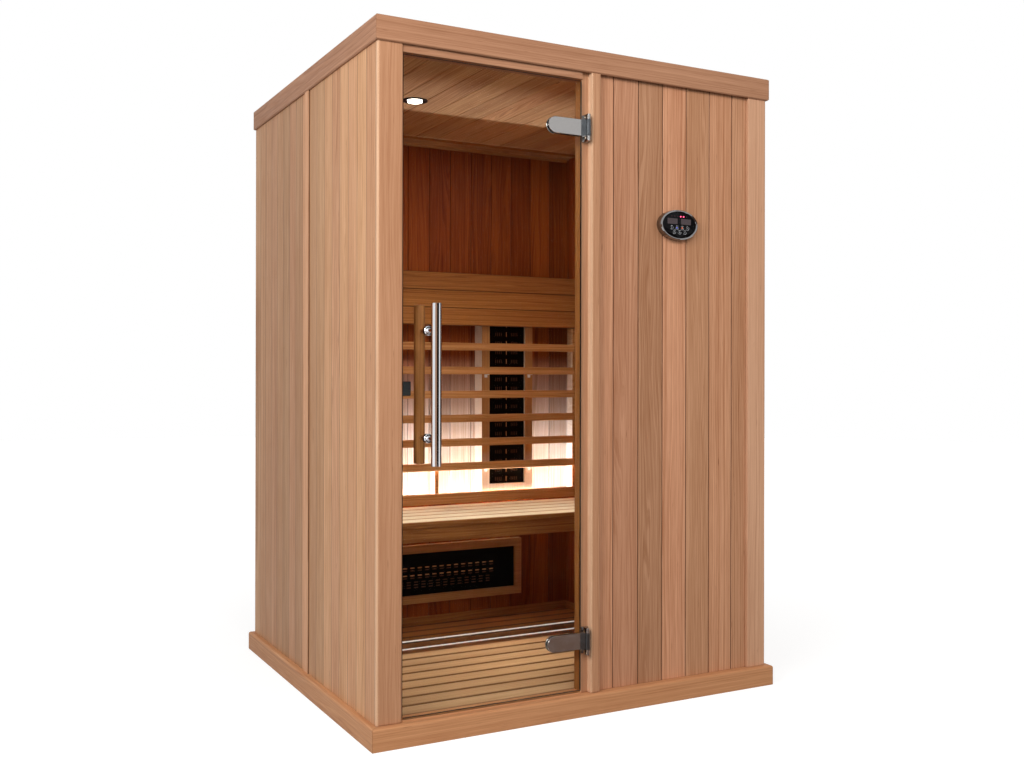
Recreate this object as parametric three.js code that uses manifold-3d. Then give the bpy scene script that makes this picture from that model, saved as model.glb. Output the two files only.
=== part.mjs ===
// Infrared sauna cabin for two people, with a glass door, a bench, heaters and a key panel.
// Millimetres, +Z up. The origin is the centre of the base, on the floor.
// Seen from the front, +X is to the right and +Y is to the back.
import * as THREE from 'three';
import { mergeVertices } from 'three/addons/utils/BufferGeometryUtils.js';
import Module from 'manifold-3d';

const wasm = await Module();
wasm.setup();

// Cabin shell, measured over the outside of the walls
const cabinWidth = 1300;
const cabinDepth = 1180;
const cabinHeight = 1900;
const wallThickness = 45;
const seatGap = 0.3; // between two pieces that seat on one another
const overshoot = 1; // how far a bore or a joined shape reaches past a face
const edgeEase = 1.5; // chamfer on sawn edges

// Tongue and groove boards
const boardWidth = 87.5;
const grooveWidth = 5;
const grooveDepth = 3;

// Base: mitred plinth rails, floor panel on bearers, slatted floor
const plinthHeight = 60;
const plinthOverhang = 18;
const plinthRound = 7;
const bearerCount = 5;
const bearerWidth = 60;
const bearerHeight = 18;
const floorBoardThickness = 12;
const duckBattenCount = 4;
const duckBattenWidth = 50;
const duckBattenHeight = 12.7;
const duckSlatThickness = 12;
const duckSlatWidth = 66;
const duckSlatGap = 9.5;
const duckFrontBoard = 97;
const duckSlatCount = 7;
const thresholdHeight = 4.5;
const thresholdSetback = 5;

// Roof: ceiling panel on the walls, inside a rebated fascia
const fasciaHeight = 66;
const fasciaOverhang = 7;
const fasciaThickness = 27;
const fasciaEase = 3;
const fasciaLip = 16; // covers the top of the walls
const ceilingThickness = 18;

// Side walls, each of two panels that meet under a cover strip
const frontPanelDepth = 552; // of the front side panel
const coverStripWidth = 41;
const coverStripProud = 4;
const cornerPostDepth = 62; // the rear wall's corner posts, along Y

// Front: corner stiles, header, door jamb and boards
const stileWidth = 70.6;
const stileFaceDepth = 13; // what shows of the stile on the cabin's side
const stileRound = 5;
const doorOpening = 554.4;
const jambRecessedWidth = 25.6;
const jambProudWidth = 28.9;
const jambRecess = 12;
const frontBoardRecess = 10;
const frontEdgeBoard = 56; // the narrow boards beside the jamb and the stile
const headerShow = 20; // header below the fascia
const headerRecess = 4;

// Glass door
const glassThickness = 8;
const glassRecess = 2;
const glassSideGap = 1.9;
const glassHingeGap = 4.7;
const glassFootGap = 10;
const glassHeadGap = 5;

// Hinges: strap on the glass, clamp behind it, bracket and pin on the jamb
const hingeUpperInset = 134.5;
const hingeLowerInset = 141.5;
const hingeAxisInset = 9; // into the jamb from the door opening
const hingeAxisForward = 14; // in front of the wall
const strapHeight = 46;
const strapThickness = 4;
const strapLength = 109;
const strapEndGap = 1.5; // from the strap's flat to the edge of the glass
const knuckleRadius = 6.5;
const barrelRadius = 5;
const barrelHeight = 15;
const pinRadius = 3;
const bracketThickness = 3;
const bracketSideGap = 1;
const lugWidth = 8;
const clampThickness = 5;
const clampBossRadius = 6;
const clampBossSpacing = 52;

// Door handle: metal tube outside, wooden bar inside, two posts through the glass
const handleInset = 72.5;
const handleLength = 427;
const handleCentreHeight = 943.5;
const tubeRadius = 13.75;
const tubeStandoff = 52; // from the glass to the tube's axis
const barRadius = 15;
const barStandoff = 52;
const postSpacing = 285;
const postRadius = 6;
const postBoltRadius = 5;
const collarRadius = 12.5;
const collarThickness = 4;

// Magnetic door catch on the left stile
const catchHeight = 933;
const catchTall = 38;
const catchReach = 28;
const catchDepth = 24;

// Key panel on the front boards
const panelFromJamb = 278.5;
const panelHeight = 1419.5;
const bezelRadius = 70; // half the oval's width
const bezelSquash = 0.647; // the oval's height over its width
const bezelDepth = 20.7;
const bezelRim = 8.7;
const facePlateDepth = 5;
const facePlateInset = 2;
const keyRadius = 6.3;
const keyProud = 1;
const keyLength = 6;
const keyTravel = 1;
const keyPitch = 19.5;
const keyRowDrops = [9.1, 22]; // below the panel's centre
const keyRowCounts = [4, 3];

// Bench
const benchHeight = 487;
const benchSlatCount = 5;
const benchSlatWidth = 71.4;
const benchSlatGap = 7.5;
const benchSlatThickness = 20;
const benchRearGap = 14;
const benchBattenCount = 3;
const benchBattenWidth = 40;
const benchBattenHeight = 20;
const benchFrontHeight = 48;
const benchFrontThickness = 22;
const benchFrontSetback = 4;
const cleatHeight = 40;
const cleatWidth = 25;

// Backrest: slats on uprights, a rail at the foot and a boarded headrest
const backrestStandoff = 90; // from the rear wall to the slats' front
const backSlatDepth = 20;
const backSlatHeight = 28;
const backSlatPitch = 90;
const backSlatCount = 6;
const backSlatRise = 85; // first slat above the rail
const backRailHeight = 38;
const backRailLift = 3; // above the bench
const tenon = 1; // slats let into the uprights
const uprightWidth = 14;
const uprightDepth = 40;
const headrestPlankCount = 3;
const headrestPlankHeight = 65.4;
const headrestRise = 65;

// Light strip behind the backrest's rail
const stripHeight = 14;
const stripDepth = 15;
const stripLift = 7;
const stripEndGap = 40;

// Heaters
const backHeaterInset = 303; // from the side wall to the heater's middle
const backHeaterWidth = 220;
const backHeaterHeight = 762;
const backHeaterDepth = 62;
const backHeaterFrame = 32.5;
const backHeaterRecess = 10;
const backHeaterLift = 9; // above the light strip
const calfHeaterWidth = 770;
const calfHeaterHeight = 217;
const calfHeaterDepth = 25;
const calfHeaterFrame = 30;
const calfHeaterRecess = 8;
const calfHeaterLift = 60; // above the slatted floor
const heaterPanelThickness = 12;

// Ceiling lights and the power box on the roof
const downlightInset = 309; // from the side wall to the lamp's middle
const downlightForward = 5;
const downlightRingRadius = 41;
const downlightRingDepth = 3.2;
const downlightCanRadius = 34;
const downlightCanHeight = 15; // above the roof
const downlightLensRadius = 28;
const downlightLensRecess = 3;
const powerBoxWidth = 260;
const powerBoxDepth = 180;
const powerBoxHeight = 27;
const powerBoxPlace = 240; // behind the cabin's centre
const inletRadius = 8;
const inletLength = 14;

const roundSteps = 24;
const ovalSteps = 56;

// Faces and levels that several pieces share
const sideFace = cabinWidth / 2;
const frontFace = -cabinDepth / 2;
const rearFace = cabinDepth / 2;
const innerSide = sideFace - wallThickness;
const innerFront = frontFace + wallThickness;
const innerRear = rearFace - wallThickness;
const wallFoot = plinthHeight + seatGap;
const fasciaFoot = cabinHeight - fasciaHeight;
const wallTop = fasciaFoot + fasciaLip;
const ceiling = wallTop + seatGap;
const roofTop = ceiling + ceilingThickness;
const floorTop = bearerHeight + floorBoardThickness;
const duckTop = floorTop + seatGap + duckBattenHeight + duckSlatThickness;
const stileInner = sideFace - stileWidth;
const jambLeft = -stileInner + doorOpening;
const jambStep = jambLeft + jambRecessedWidth;
const jambRight = jambStep + jambProudWidth;
const jambFace = frontFace + jambRecess;
const boardFace = frontFace + frontBoardRecess;
const headerFoot = fasciaFoot - headerShow;

const glassLeft = -stileInner + glassSideGap;
const glassRight = jambLeft - glassHingeGap;
const glassFoot = plinthHeight + glassFootGap;
const glassHead = headerFoot - glassHeadGap;
const glassFront = frontFace + glassRecess;
const glassBack = glassFront + glassThickness;

const hingeAxis = new THREE.Vector2(jambLeft + hingeAxisInset, frontFace - hingeAxisForward);
const hingeHeights = { upper: glassHead - hingeUpperInset, lower: glassFoot + hingeLowerInset };
const handleX = glassLeft + handleInset;
const postHeights = {
  upper: handleCentreHeight + postSpacing / 2,
  lower: handleCentreHeight - postSpacing / 2,
};

const backrestFront = innerRear - backrestStandoff;
const railFoot = benchHeight + backRailLift;
const railTop = railFoot + backRailHeight;
const firstSlat = railTop + backSlatRise;
const headrestFoot = firstSlat + (backSlatCount - 1) * backSlatPitch + backSlatHeight + headrestRise;
const headrestTop = headrestFoot + headrestPlankCount * headrestPlankHeight;
const uprightFront = backrestFront + backSlatDepth - tenon;
const stripFoot = railFoot + stripLift;
const stripTop = stripFoot + stripHeight;

// Materials
const finish = (color, roughness, metalness = 0) =>
  new THREE.MeshStandardMaterial({ color, roughness, metalness });
const outsideWood = finish('#bf8a66', 0.55);
const trimWood = finish('#c08d64', 0.5);
const insideWood = finish('#8a4b26', 0.6);
const paleWood = finish('#e2c49c', 0.6);
const brightMetal = finish('#d8dadc', 0.12, 1);
const blackPlastic = finish('#0c0c0d', 0.25);
const heaterBlack = finish('#0a0908', 0.6);
const clearGlass = new THREE.MeshStandardMaterial({
  color: '#eef3f0', roughness: 0.03, transparent: true, opacity: 0.25,
});
const lampWhite = finish('#fff8ea', 0.3);
const sheetSteel = finish('#8d9092', 0.45, 1);

// Shapes

// Rectangle with chamfered corners, as points
function easedRectangle(u0, u1, v0, v1, ease = edgeEase) {
  return [
    [u0 + ease, v0], [u1 - ease, v0], [u1, v0 + ease], [u1, v1 - ease],
    [u1 - ease, v1], [u0 + ease, v1], [u0, v1 - ease], [u0, v0 + ease],
  ];
}

// Points along an arc, for an outline
function arcPoints(u, v, radius, from, to, steps = 4) {
  return new THREE.Path().absarc(u, v, radius, from, to).getPoints(steps).map((p) => [p.x, p.y]);
}

const circle = (u, v, radius) => new THREE.Path().absarc(u, v, radius, 0, Math.PI * 2);

const toShape = (outline) => new THREE.Shape(outline.map(([u, v]) => new THREE.Vector2(u, v)));

const xAxis = new THREE.Vector3(1, 0, 0);
const yAxis = new THREE.Vector3(0, 1, 0);
const zAxis = new THREE.Vector3(0, 0, 1);
const acrossTurn = new THREE.Matrix4().makeBasis(yAxis, zAxis, xAxis);
const backTurn = new THREE.Matrix4().makeBasis(xAxis, zAxis, yAxis.clone().negate());

function extrude(shape, from, to, holes = []) {
  shape.holes.push(...holes);
  const geometry = new THREE.ExtrudeGeometry(shape, {
    depth: to - from, bevelEnabled: false, curveSegments: roundSteps,
  });
  return geometry.translate(0, 0, from);
}

// Prisms along Z from a plan outline (x, y), along X from (y, z) and along Y from (x, z)
const upright = (outline, z0, z1) => extrude(toShape(outline), z0, z1);
const across = (outline, x0, x1) => extrude(toShape(outline), x0, x1).applyMatrix4(acrossTurn);
const frontToBack = (shape, y0, y1, holes) => extrude(shape, -y1, -y0, holes).applyMatrix4(backTurn);

const sawnBoard = (x0, x1, y0, y1, z0, z1) => across(easedRectangle(y0, y1, z0, z1), x0, x1);

function block(x0, x1, y0, y1, z0, z1) {
  return new THREE.BoxGeometry(x1 - x0, y1 - y0, z1 - z0)
    .translate((x0 + x1) / 2, (y0 + y1) / 2, (z0 + z1) / 2);
}

// Turned pieces: profile points are (radius, place along the axis)
function turnedAlongY(profile, steps = roundSteps) {
  return new THREE.LatheGeometry(profile.map(([r, y]) => new THREE.Vector2(r, y)), steps);
}

const turnedAlongZ = (profile, steps) => turnedAlongY(profile, steps).rotateX(Math.PI / 2);

const rod = (radius, z0, z1) => turnedAlongZ([[0, z0], [radius, z0], [radius, z1], [0, z1]]);

// Joins and cuts
function solid(geometry) {
  const bare = geometry.clone();
  bare.deleteAttribute('normal');
  bare.deleteAttribute('uv');
  const merged = mergeVertices(bare);
  return new wasm.Manifold(new wasm.Mesh({
    numProp: 3,
    vertProperties: new Float32Array(merged.attributes.position.array),
    triVerts: new Uint32Array(merged.index.array),
  }));
}

function fromSolid(body) {
  const mesh = body.getMesh();
  const geometry = new THREE.BufferGeometry();
  geometry.setAttribute('position', new THREE.BufferAttribute(mesh.vertProperties, 3));
  geometry.setIndex(new THREE.BufferAttribute(mesh.triVerts, 1));
  geometry.computeVertexNormals();
  return geometry;
}

const joined = (geometries) => fromSolid(geometries.map(solid).reduce((sum, body) => sum.add(body)));

const drilled = (geometry, tools) =>
  fromSolid(tools.map(solid).reduce((sum, tool) => sum.subtract(tool), solid(geometry)));

// Board joints at whole board widths from an origin, kept off the panel's edges
function boardJoints(low, high, origin) {
  const margin = 2 * grooveWidth;
  const first = Math.ceil((low + margin - origin) / boardWidth);
  const last = Math.floor((high - margin - origin) / boardWidth);
  return Array.from({ length: last - first + 1 }, (_, i) => origin + (first + i) * boardWidth);
}

// V-grooves cut into a straight edge: pairs of (place along the edge, level across it)
function grooves(joints, level, into) {
  const half = grooveWidth / 2;
  return joints.flatMap((at) => [[at - half, level], [at, level + into * grooveDepth], [at + half, level]]);
}

const swapped = (points) => points.map(([u, v]) => [v, u]);

const cabin = new THREE.Group();

function add(name, geometry, material, parent = cabin) {
  const mesh = new THREE.Mesh(geometry, material);
  mesh.name = name;
  parent.add(mesh);
  return mesh;
}

// Mitred rails round the cabin: a profile of (outwards from the wall face, height), seen on the front
function mitredRail(profile, halfLength) {
  const shape = toShape(profile);
  const geometry = new THREE.ExtrudeGeometry(shape, { depth: 1, bevelEnabled: false });
  const place = geometry.attributes.position;
  for (let i = 0; i < place.count; i += 1) {
    const end = place.getZ(i) > 0.5 ? 1 : -1;
    place.setZ(i, end * (halfLength + place.getX(i) - seatGap));
  }
  const outwards = yAxis.clone().negate();
  return geometry.applyMatrix4(new THREE.Matrix4().makeBasis(outwards, zAxis, xAxis.clone().negate()));
}

function addRails(prefix, profile, material) {
  const sides = [
    ['front', 0, cabinWidth, cabinDepth], ['right', 1, cabinDepth, cabinWidth],
    ['rear', 2, cabinWidth, cabinDepth], ['left', 3, cabinDepth, cabinWidth],
  ];
  const rails = {};
  for (const [side, quarterTurns, length, span] of sides) {
    const group = new THREE.Group();
    group.rotation.z = quarterTurns * Math.PI / 2;
    cabin.add(group);
    rails[side] = add(`${prefix}_${side}`, mitredRail(profile, length / 2), material, group);
    rails[side].position.y = -span / 2;
  }
  return rails;
}

// Base
function addBase() {
  const inside = -wallThickness;
  const corner = arcPoints(
    plinthOverhang - plinthRound, plinthHeight - plinthRound, plinthRound, 0, Math.PI / 2,
  );
  const profile = [[inside, 0], [plinthOverhang, 0], ...corner, [inside, plinthHeight]];
  const rails = addRails('plinth', profile, trimWood);
  const threshold = block(-stileInner + seatGap, jambLeft - seatGap, thresholdSetback, wallThickness,
    plinthHeight - tenon, plinthHeight + thresholdHeight);
  rails.front.geometry = joined([rails.front.geometry, threshold]);

  const floorSide = innerSide - seatGap;
  const floorRear = innerRear - seatGap;
  const bearerPitch = (2 * floorSide - bearerWidth) / (bearerCount - 1);
  const feet = Array.from({ length: bearerCount }, (_, i) => -floorSide + i * bearerPitch);
  const comb = feet.flatMap((x) => [
    [x, bearerHeight], [x, 0], [x + bearerWidth, 0], [x + bearerWidth, bearerHeight],
  ]).slice(1, -1);
  const section = toShape([...comb, [floorSide, floorTop], [-floorSide, floorTop]]);
  add('floor_panel', frontToBack(section, -floorRear, floorRear), outsideWood);

  const battenFoot = floorTop + seatGap;
  const slatFoot = battenFoot + duckBattenHeight;
  const slatPitch = duckSlatWidth + duckSlatGap;
  const firstY = -floorRear + duckFrontBoard + duckSlatGap;
  const lastY = firstY + duckSlatCount * slatPitch - duckSlatGap;
  const battenPitch = (2 * floorSide - duckBattenWidth) / (duckBattenCount - 1);
  const battens = Array.from({ length: duckBattenCount }, (_, i) => {
    const x = -floorSide + i * battenPitch;
    return block(x, x + duckBattenWidth, -floorRear, lastY, battenFoot, slatFoot + tenon);
  });
  const slats = Array.from({ length: duckSlatCount }, (_, i) => {
    const y = firstY + i * slatPitch;
    return sawnBoard(-floorSide, floorSide, y, y + duckSlatWidth, slatFoot, duckTop);
  });
  const frontBack = -floorRear + duckFrontBoard;
  const frontSlat = sawnBoard(-floorSide, floorSide, -floorRear, frontBack, slatFoot, duckTop);
  add('duckboard', joined([...battens, frontSlat, ...slats]), paleWood);
}

// Side and rear walls
function addWalls() {
  const sideStart = frontFace + stileFaceDepth + seatGap;
  const stripStart = frontFace + stileFaceDepth + frontPanelDepth;
  const sideEnd = rearFace - cornerPostDepth;

  for (const [side, sign] of [['left', -1], ['right', 1]]) {
    const outer = sign * sideFace;
    const inner = sign * innerSide;
    const innerEdge = (y0, y1) => [
      [inner, y0], ...swapped(grooves(boardJoints(y0, y1, stripStart), inner, sign)), [inner, y1],
    ];
    const frontEnd = stripStart - seatGap;
    const frontPlan = [...innerEdge(sideStart, frontEnd), [outer, frontEnd], [outer, sideStart]];
    add(`${side}_wall_front`, upright(frontPlan, wallFoot, wallTop), outsideWood);

    const proud = outer + sign * coverStripProud;
    const stripEnd = stripStart + coverStripWidth;
    const rearPlan = [...innerEdge(stripStart, sideEnd), [outer, sideEnd], [outer, stripStart]];
    const stripPlan = [
      [outer - sign * tenon, stripStart], [outer - sign * tenon, stripEnd], [outer, stripEnd],
      [proud, stripEnd - edgeEase], [proud, stripStart + edgeEase], [proud - sign * edgeEase, stripStart],
    ];
    const stripped = joined([
      upright(rearPlan, wallFoot, wallTop), upright(stripPlan, wallFoot, fasciaFoot - seatGap),
    ]);
    add(`${side}_wall_rear`, stripped, outsideWood);
  }

  const postFront = sideEnd + seatGap;
  const rearPlan = [
    [-sideFace, rearFace], [-sideFace, postFront], [-innerSide, postFront], [-innerSide, innerRear],
    ...grooves(boardJoints(-innerSide, innerSide, 0), innerRear, 1),
    [innerSide, innerRear], [innerSide, postFront], [sideFace, postFront], [sideFace, rearFace],
    ...grooves(boardJoints(-sideFace, sideFace, 0), rearFace, -1).reverse(),
  ];
  add('rear_wall', upright(rearPlan, wallFoot, wallTop), insideWood);
}

// Front: stiles, header, jamb, boards
function addFront() {
  const sideStart = frontFace + stileFaceDepth;
  for (const [side, sign] of [['left', -1], ['right', 1]]) {
    const corner = arcPoints(sideFace - stileRound, frontFace + stileRound, stileRound, -Math.PI / 2, 0);
    const plan = [
      ...corner, [sideFace, sideStart], [innerSide - seatGap, sideStart],
      [innerSide - seatGap, innerFront], [stileInner, innerFront],
      [stileInner, frontFace + edgeEase], [stileInner + edgeEase, frontFace],
    ].map(([x, y]) => [sign * x, y]);
    add(`front_${side}_stile`, upright(plan, wallFoot, wallTop), outsideWood);
  }

  const headerLeft = -stileInner + seatGap;
  const headerFace = frontFace + headerRecess;
  const header = sawnBoard(headerLeft, jambLeft - seatGap, headerFace, innerFront, headerFoot, wallTop);
  add('front_header', header, outsideWood);

  const proudFace = frontFace - fasciaOverhang;
  const jambPlan = (face) => [
    [jambLeft, innerFront], [jambLeft, jambFace + edgeEase], [jambLeft + edgeEase, jambFace],
    [jambStep, jambFace], [jambStep, face + edgeEase], [jambStep + edgeEase, face],
    [jambRight - edgeEase, face], [jambRight, face + edgeEase], [jambRight, innerFront],
  ];
  const jamb = joined([
    upright(jambPlan(proudFace), wallFoot, fasciaFoot - seatGap),
    upright(jambPlan(frontFace), wallFoot, wallTop),
  ]);
  add('door_jamb', jamb, outsideWood);

  const left = jambRight + seatGap;
  const right = stileInner - seatGap;
  const joints = boardJoints(left, right, jambRight + frontEdgeBoard);
  const boardPlan = [
    [left, boardFace], ...grooves(joints, boardFace, 1), [right, boardFace],
    [right, innerFront], ...grooves(joints, innerFront, -1).reverse(), [left, innerFront],
  ];
  add('front_boards', upright(boardPlan, wallFoot, wallTop), outsideWood);
}

// Roof
function addRoof() {
  const back = fasciaOverhang - fasciaThickness;
  const profile = [
    [seatGap, fasciaFoot], [fasciaOverhang - fasciaEase, fasciaFoot],
    [fasciaOverhang, fasciaFoot + fasciaEase],
    [fasciaOverhang, cabinHeight - fasciaEase], [fasciaOverhang - fasciaEase, cabinHeight],
    [back, cabinHeight], [back, ceiling], [seatGap, ceiling],
  ];
  addRails('fascia', profile, trimWood);

  const roofSide = sideFace + back - seatGap;
  const roofRear = rearFace + back - seatGap;
  const section = toShape([
    [-roofSide, ceiling], ...grooves(boardJoints(-innerSide, innerSide, 0), ceiling, 1),
    [roofSide, ceiling], [roofSide, roofTop], [-roofSide, roofTop],
  ]);
  const lampX = innerSide - downlightInset;
  const lampHole = rod(downlightCanRadius + seatGap, ceiling - overshoot, roofTop + overshoot);
  const lampHoles = [-1, 1].map((sign) => lampHole.clone().translate(sign * lampX, -downlightForward, 0));
  add('roof_panel', drilled(frontToBack(section, -roofRear, roofRear), lampHoles), insideWood);

  const boxFoot = roofTop + seatGap;
  const boxRear = powerBoxPlace + powerBoxDepth / 2;
  const box = sawnBoard(-powerBoxWidth / 2, powerBoxWidth / 2, boxRear - powerBoxDepth, boxRear,
    boxFoot, boxFoot + powerBoxHeight);
  const inlet = turnedAlongY([[0, boxRear - overshoot], [inletRadius, boxRear - overshoot],
    [inletRadius, boxRear + inletLength], [0, boxRear + inletLength]])
    .translate(0, 0, boxFoot + powerBoxHeight / 2);
  add('power_box', joined([box, inlet]), sheetSteel);

  const ringFace = ceiling - downlightRingDepth - seatGap;
  const lamp = turnedAlongZ([
    [0, ringFace + downlightLensRecess], [downlightLensRadius, ringFace + downlightLensRecess],
    [downlightCanRadius, ringFace], [downlightRingRadius - edgeEase, ringFace],
    [downlightRingRadius, ringFace + edgeEase], [downlightRingRadius, ceiling - seatGap],
    [downlightCanRadius, ceiling - seatGap], [downlightCanRadius, roofTop + downlightCanHeight],
    [0, roofTop + downlightCanHeight],
  ], 32);
  for (const [side, sign] of [['left', -1], ['right', 1]]) {
    add(`downlight_${side}`, lamp, brightMetal).position.set(sign * lampX, -downlightForward, 0);
  }
}

// Door: glass with its holes, handle and hinges
function addDoor() {
  const bossXs = [0, 1].map((i) => hingeStrap.bossX + i * clampBossSpacing);
  const holes = [
    ...Object.values(postHeights).map((z) => circle(handleX, z, postBoltRadius + seatGap)),
    ...Object.values(hingeHeights).flatMap((z) => bossXs.map((x) => circle(
      hingeAxis.x + x, z, clampBossRadius + seatGap))),
  ];
  const pane = toShape(easedRectangle(glassLeft, glassRight, glassFoot, glassHead));
  add('door_glass', frontToBack(pane, glassFront, glassBack, holes), clearGlass);

  const tubeY = glassFront - tubeStandoff;
  const barY = glassBack + barStandoff;
  const handleFoot = handleCentreHeight - handleLength / 2;
  const turnedBar = (radius) => turnedAlongZ([
    [0, handleFoot], [radius - edgeEase, handleFoot], [radius, handleFoot + edgeEase],
    [radius, handleFoot + handleLength - edgeEase], [radius - edgeEase, handleFoot + handleLength],
    [0, handleFoot + handleLength],
  ]);
  add('handle_tube', turnedBar(tubeRadius), brightMetal).position.set(handleX, tubeY, 0);
  add('handle_bar_inner', turnedBar(barRadius), insideWood).position.set(handleX, barY, 0);

  const outerCollar = glassFront - seatGap;
  const innerCollar = glassBack + seatGap;
  const postFront = tubeY + tubeRadius + seatGap;
  const postBack = barY - barRadius - seatGap;
  const post = turnedAlongY([
    [0, postFront], [postRadius, postFront], [postRadius, outerCollar - collarThickness],
    [collarRadius, outerCollar - collarThickness], [collarRadius, outerCollar],
    [postBoltRadius, outerCollar], [postBoltRadius, innerCollar], [collarRadius, innerCollar],
    [collarRadius, innerCollar + collarThickness], [postRadius, innerCollar + collarThickness],
    [postRadius, postBack], [0, postBack],
  ]);
  for (const [level, z] of Object.entries(postHeights)) {
    add(`handle_post_${level}`, post, brightMetal).position.set(handleX, 0, z);
  }

  for (const [level, z] of Object.entries(hingeHeights)) {
    const group = new THREE.Group();
    group.position.set(hingeAxis.x, hingeAxis.y, z);
    cabin.add(group);
    add(`hinge_strap_${level}`, hingeStrap.geometry, brightMetal, group);
    add(`hinge_clamp_${level}`, hingeClamp(bossXs), brightMetal, group);
    add(`hinge_bracket_${level}`, hingeBracket(), brightMetal, group);
    const pinEnd = strapHeight / 2 + seatGap + barrelHeight;
    add(`hinge_pin_${level}`, rod(pinRadius, -pinEnd, pinEnd), brightMetal, group);
  }

  const catchFront = glassBack + seatGap;
  const catchLeft = -stileInner + seatGap;
  const catchPlan = easedRectangle(catchLeft, catchLeft + catchReach, catchFront, catchFront + catchDepth);
  const catchFoot = catchHeight - catchTall / 2;
  add('door_catch', upright(catchPlan, catchFoot, catchFoot + catchTall), blackPlastic);
}

// Plate with one round end, in the hinge's own frame: x along the glass, z up
function roundEndedPlate(left, right, height) {
  const radius = height / 2;
  return new THREE.Shape()
    .moveTo(left + radius, -radius)
    .lineTo(right, -radius)
    .lineTo(right, radius)
    .lineTo(left + radius, radius)
    .absarc(left + radius, 0, radius, Math.PI / 2, Math.PI * 1.5);
}

// Strap: flat on the glass, cranked forwards to a knuckle on the hinge's axis
function makeStrap() {
  const half = strapHeight / 2;
  const flatBack = glassFront - hingeAxis.y - seatGap;
  const flatFront = flatBack - strapThickness;
  const right = glassRight - hingeAxis.x - strapEndGap;
  const left = right - strapLength;
  const flat = frontToBack(roundEndedPlate(left, right, strapHeight), flatFront, flatBack);
  const start = new THREE.Vector2(right - strapThickness / 2, (flatFront + flatBack) / 2);
  const side = new THREE.Vector2(start.y, -start.x).setLength(strapThickness / 2);
  const crankPlan = [
    [start.x + side.x, start.y + side.y], [start.x - side.x, start.y - side.y],
    [-side.x, -side.y], [side.x, side.y],
  ];
  const parts = [flat, upright(crankPlan, -half, half), rod(knuckleRadius, -half, half)];
  const bore = rod(pinRadius + seatGap, -half - overshoot, half + overshoot);
  return { geometry: drilled(joined(parts), [bore]), left, right, bossX: left + half };
}

const hingeStrap = makeStrap();

// Clamp behind the glass, with bosses through the glass to the strap
function hingeClamp(bossXs) {
  const front = glassBack - hingeAxis.y + seatGap;
  const strapBack = glassFront - hingeAxis.y - seatGap;
  const plate = frontToBack(roundEndedPlate(hingeStrap.left, hingeStrap.right, strapHeight), front,
    front + clampThickness);
  const boss = turnedAlongY([[0, strapBack + seatGap], [clampBossRadius, strapBack + seatGap],
    [clampBossRadius, front + overshoot], [0, front + overshoot]]);
  return joined([plate, ...bossXs.map((x) => boss.clone().translate(x, 0, 0))]);
}

// Bracket on the jamb: a leaf, and two lugs with barrels above and below the strap's knuckle
function hingeBracket() {
  const back = jambFace - hingeAxis.y - seatGap;
  const leafFront = back - bracketThickness;
  const low = strapHeight / 2 + seatGap;
  const high = low + barrelHeight;
  const leafLeft = jambLeft - hingeAxis.x + bracketSideGap;
  const leafRight = jambStep - hingeAxis.x - bracketSideGap;
  const parts = [block(leafLeft, leafRight, leafFront, back, -high, high)];
  for (const [z0, z1] of [[low, high], [-high, -low]]) {
    const lug = block(-lugWidth / 2, lugWidth / 2, 0, leafFront + overshoot, z0, z1);
    parts.push(lug, rod(barrelRadius, z0, z1));
  }
  const bore = rod(pinRadius + seatGap, -high - overshoot, high + overshoot);
  return drilled(joined(parts), [bore]);
}

// Key panel
function addKeyPanel() {
  const centre = new THREE.Vector3(jambRight + panelFromJamb, boardFace - seatGap, panelHeight);
  const panel = new THREE.Group();
  panel.position.copy(centre);
  cabin.add(panel);

  const opening = bezelRadius - bezelRim;
  const faceFront = -bezelDepth + facePlateInset;
  const faceBack = faceFront + facePlateDepth;
  const recess = faceBack + keyTravel + 2 * seatGap;
  const bezel = turnedAlongY([
    [0, recess], [opening, recess], [opening, -bezelDepth + edgeEase],
    [opening + edgeEase, -bezelDepth], [bezelRadius - bezelRim / 2, -bezelDepth],
    [bezelRadius - edgeEase, -bezelDepth + 3 * edgeEase], [bezelRadius, 0], [0, 0],
  ], ovalSteps).scale(1, 1, bezelSquash);
  add('control_bezel', bezel, brightMetal, panel);

  const keys = keyRowCounts.flatMap((count, row) => Array.from({ length: count }, (_, i) => (
    [(i - (count - 1) / 2) * keyPitch, -keyRowDrops[row]])));
  const rim = opening - seatGap;
  const oval = new THREE.Shape().absellipse(0, 0, rim, rim * bezelSquash - seatGap, 0, Math.PI * 2);
  const wells = keys.map(([x, z]) => circle(x, z, keyRadius + seatGap));
  add('control_face', frontToBack(oval, faceFront, faceBack, wells), blackPlastic, panel);

  const keyFront = faceFront - keyProud;
  const key = turnedAlongY([
    [0, keyFront], [keyRadius - edgeEase, keyFront], [keyRadius, keyFront + edgeEase / 2],
    [keyRadius, keyFront + keyLength], [0, keyFront + keyLength],
  ]);
  keys.forEach(([x, z], i) => {
    add(`control_key_${i + 1}`, key, blackPlastic, panel).position.set(x, 0, z);
  });
}

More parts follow.
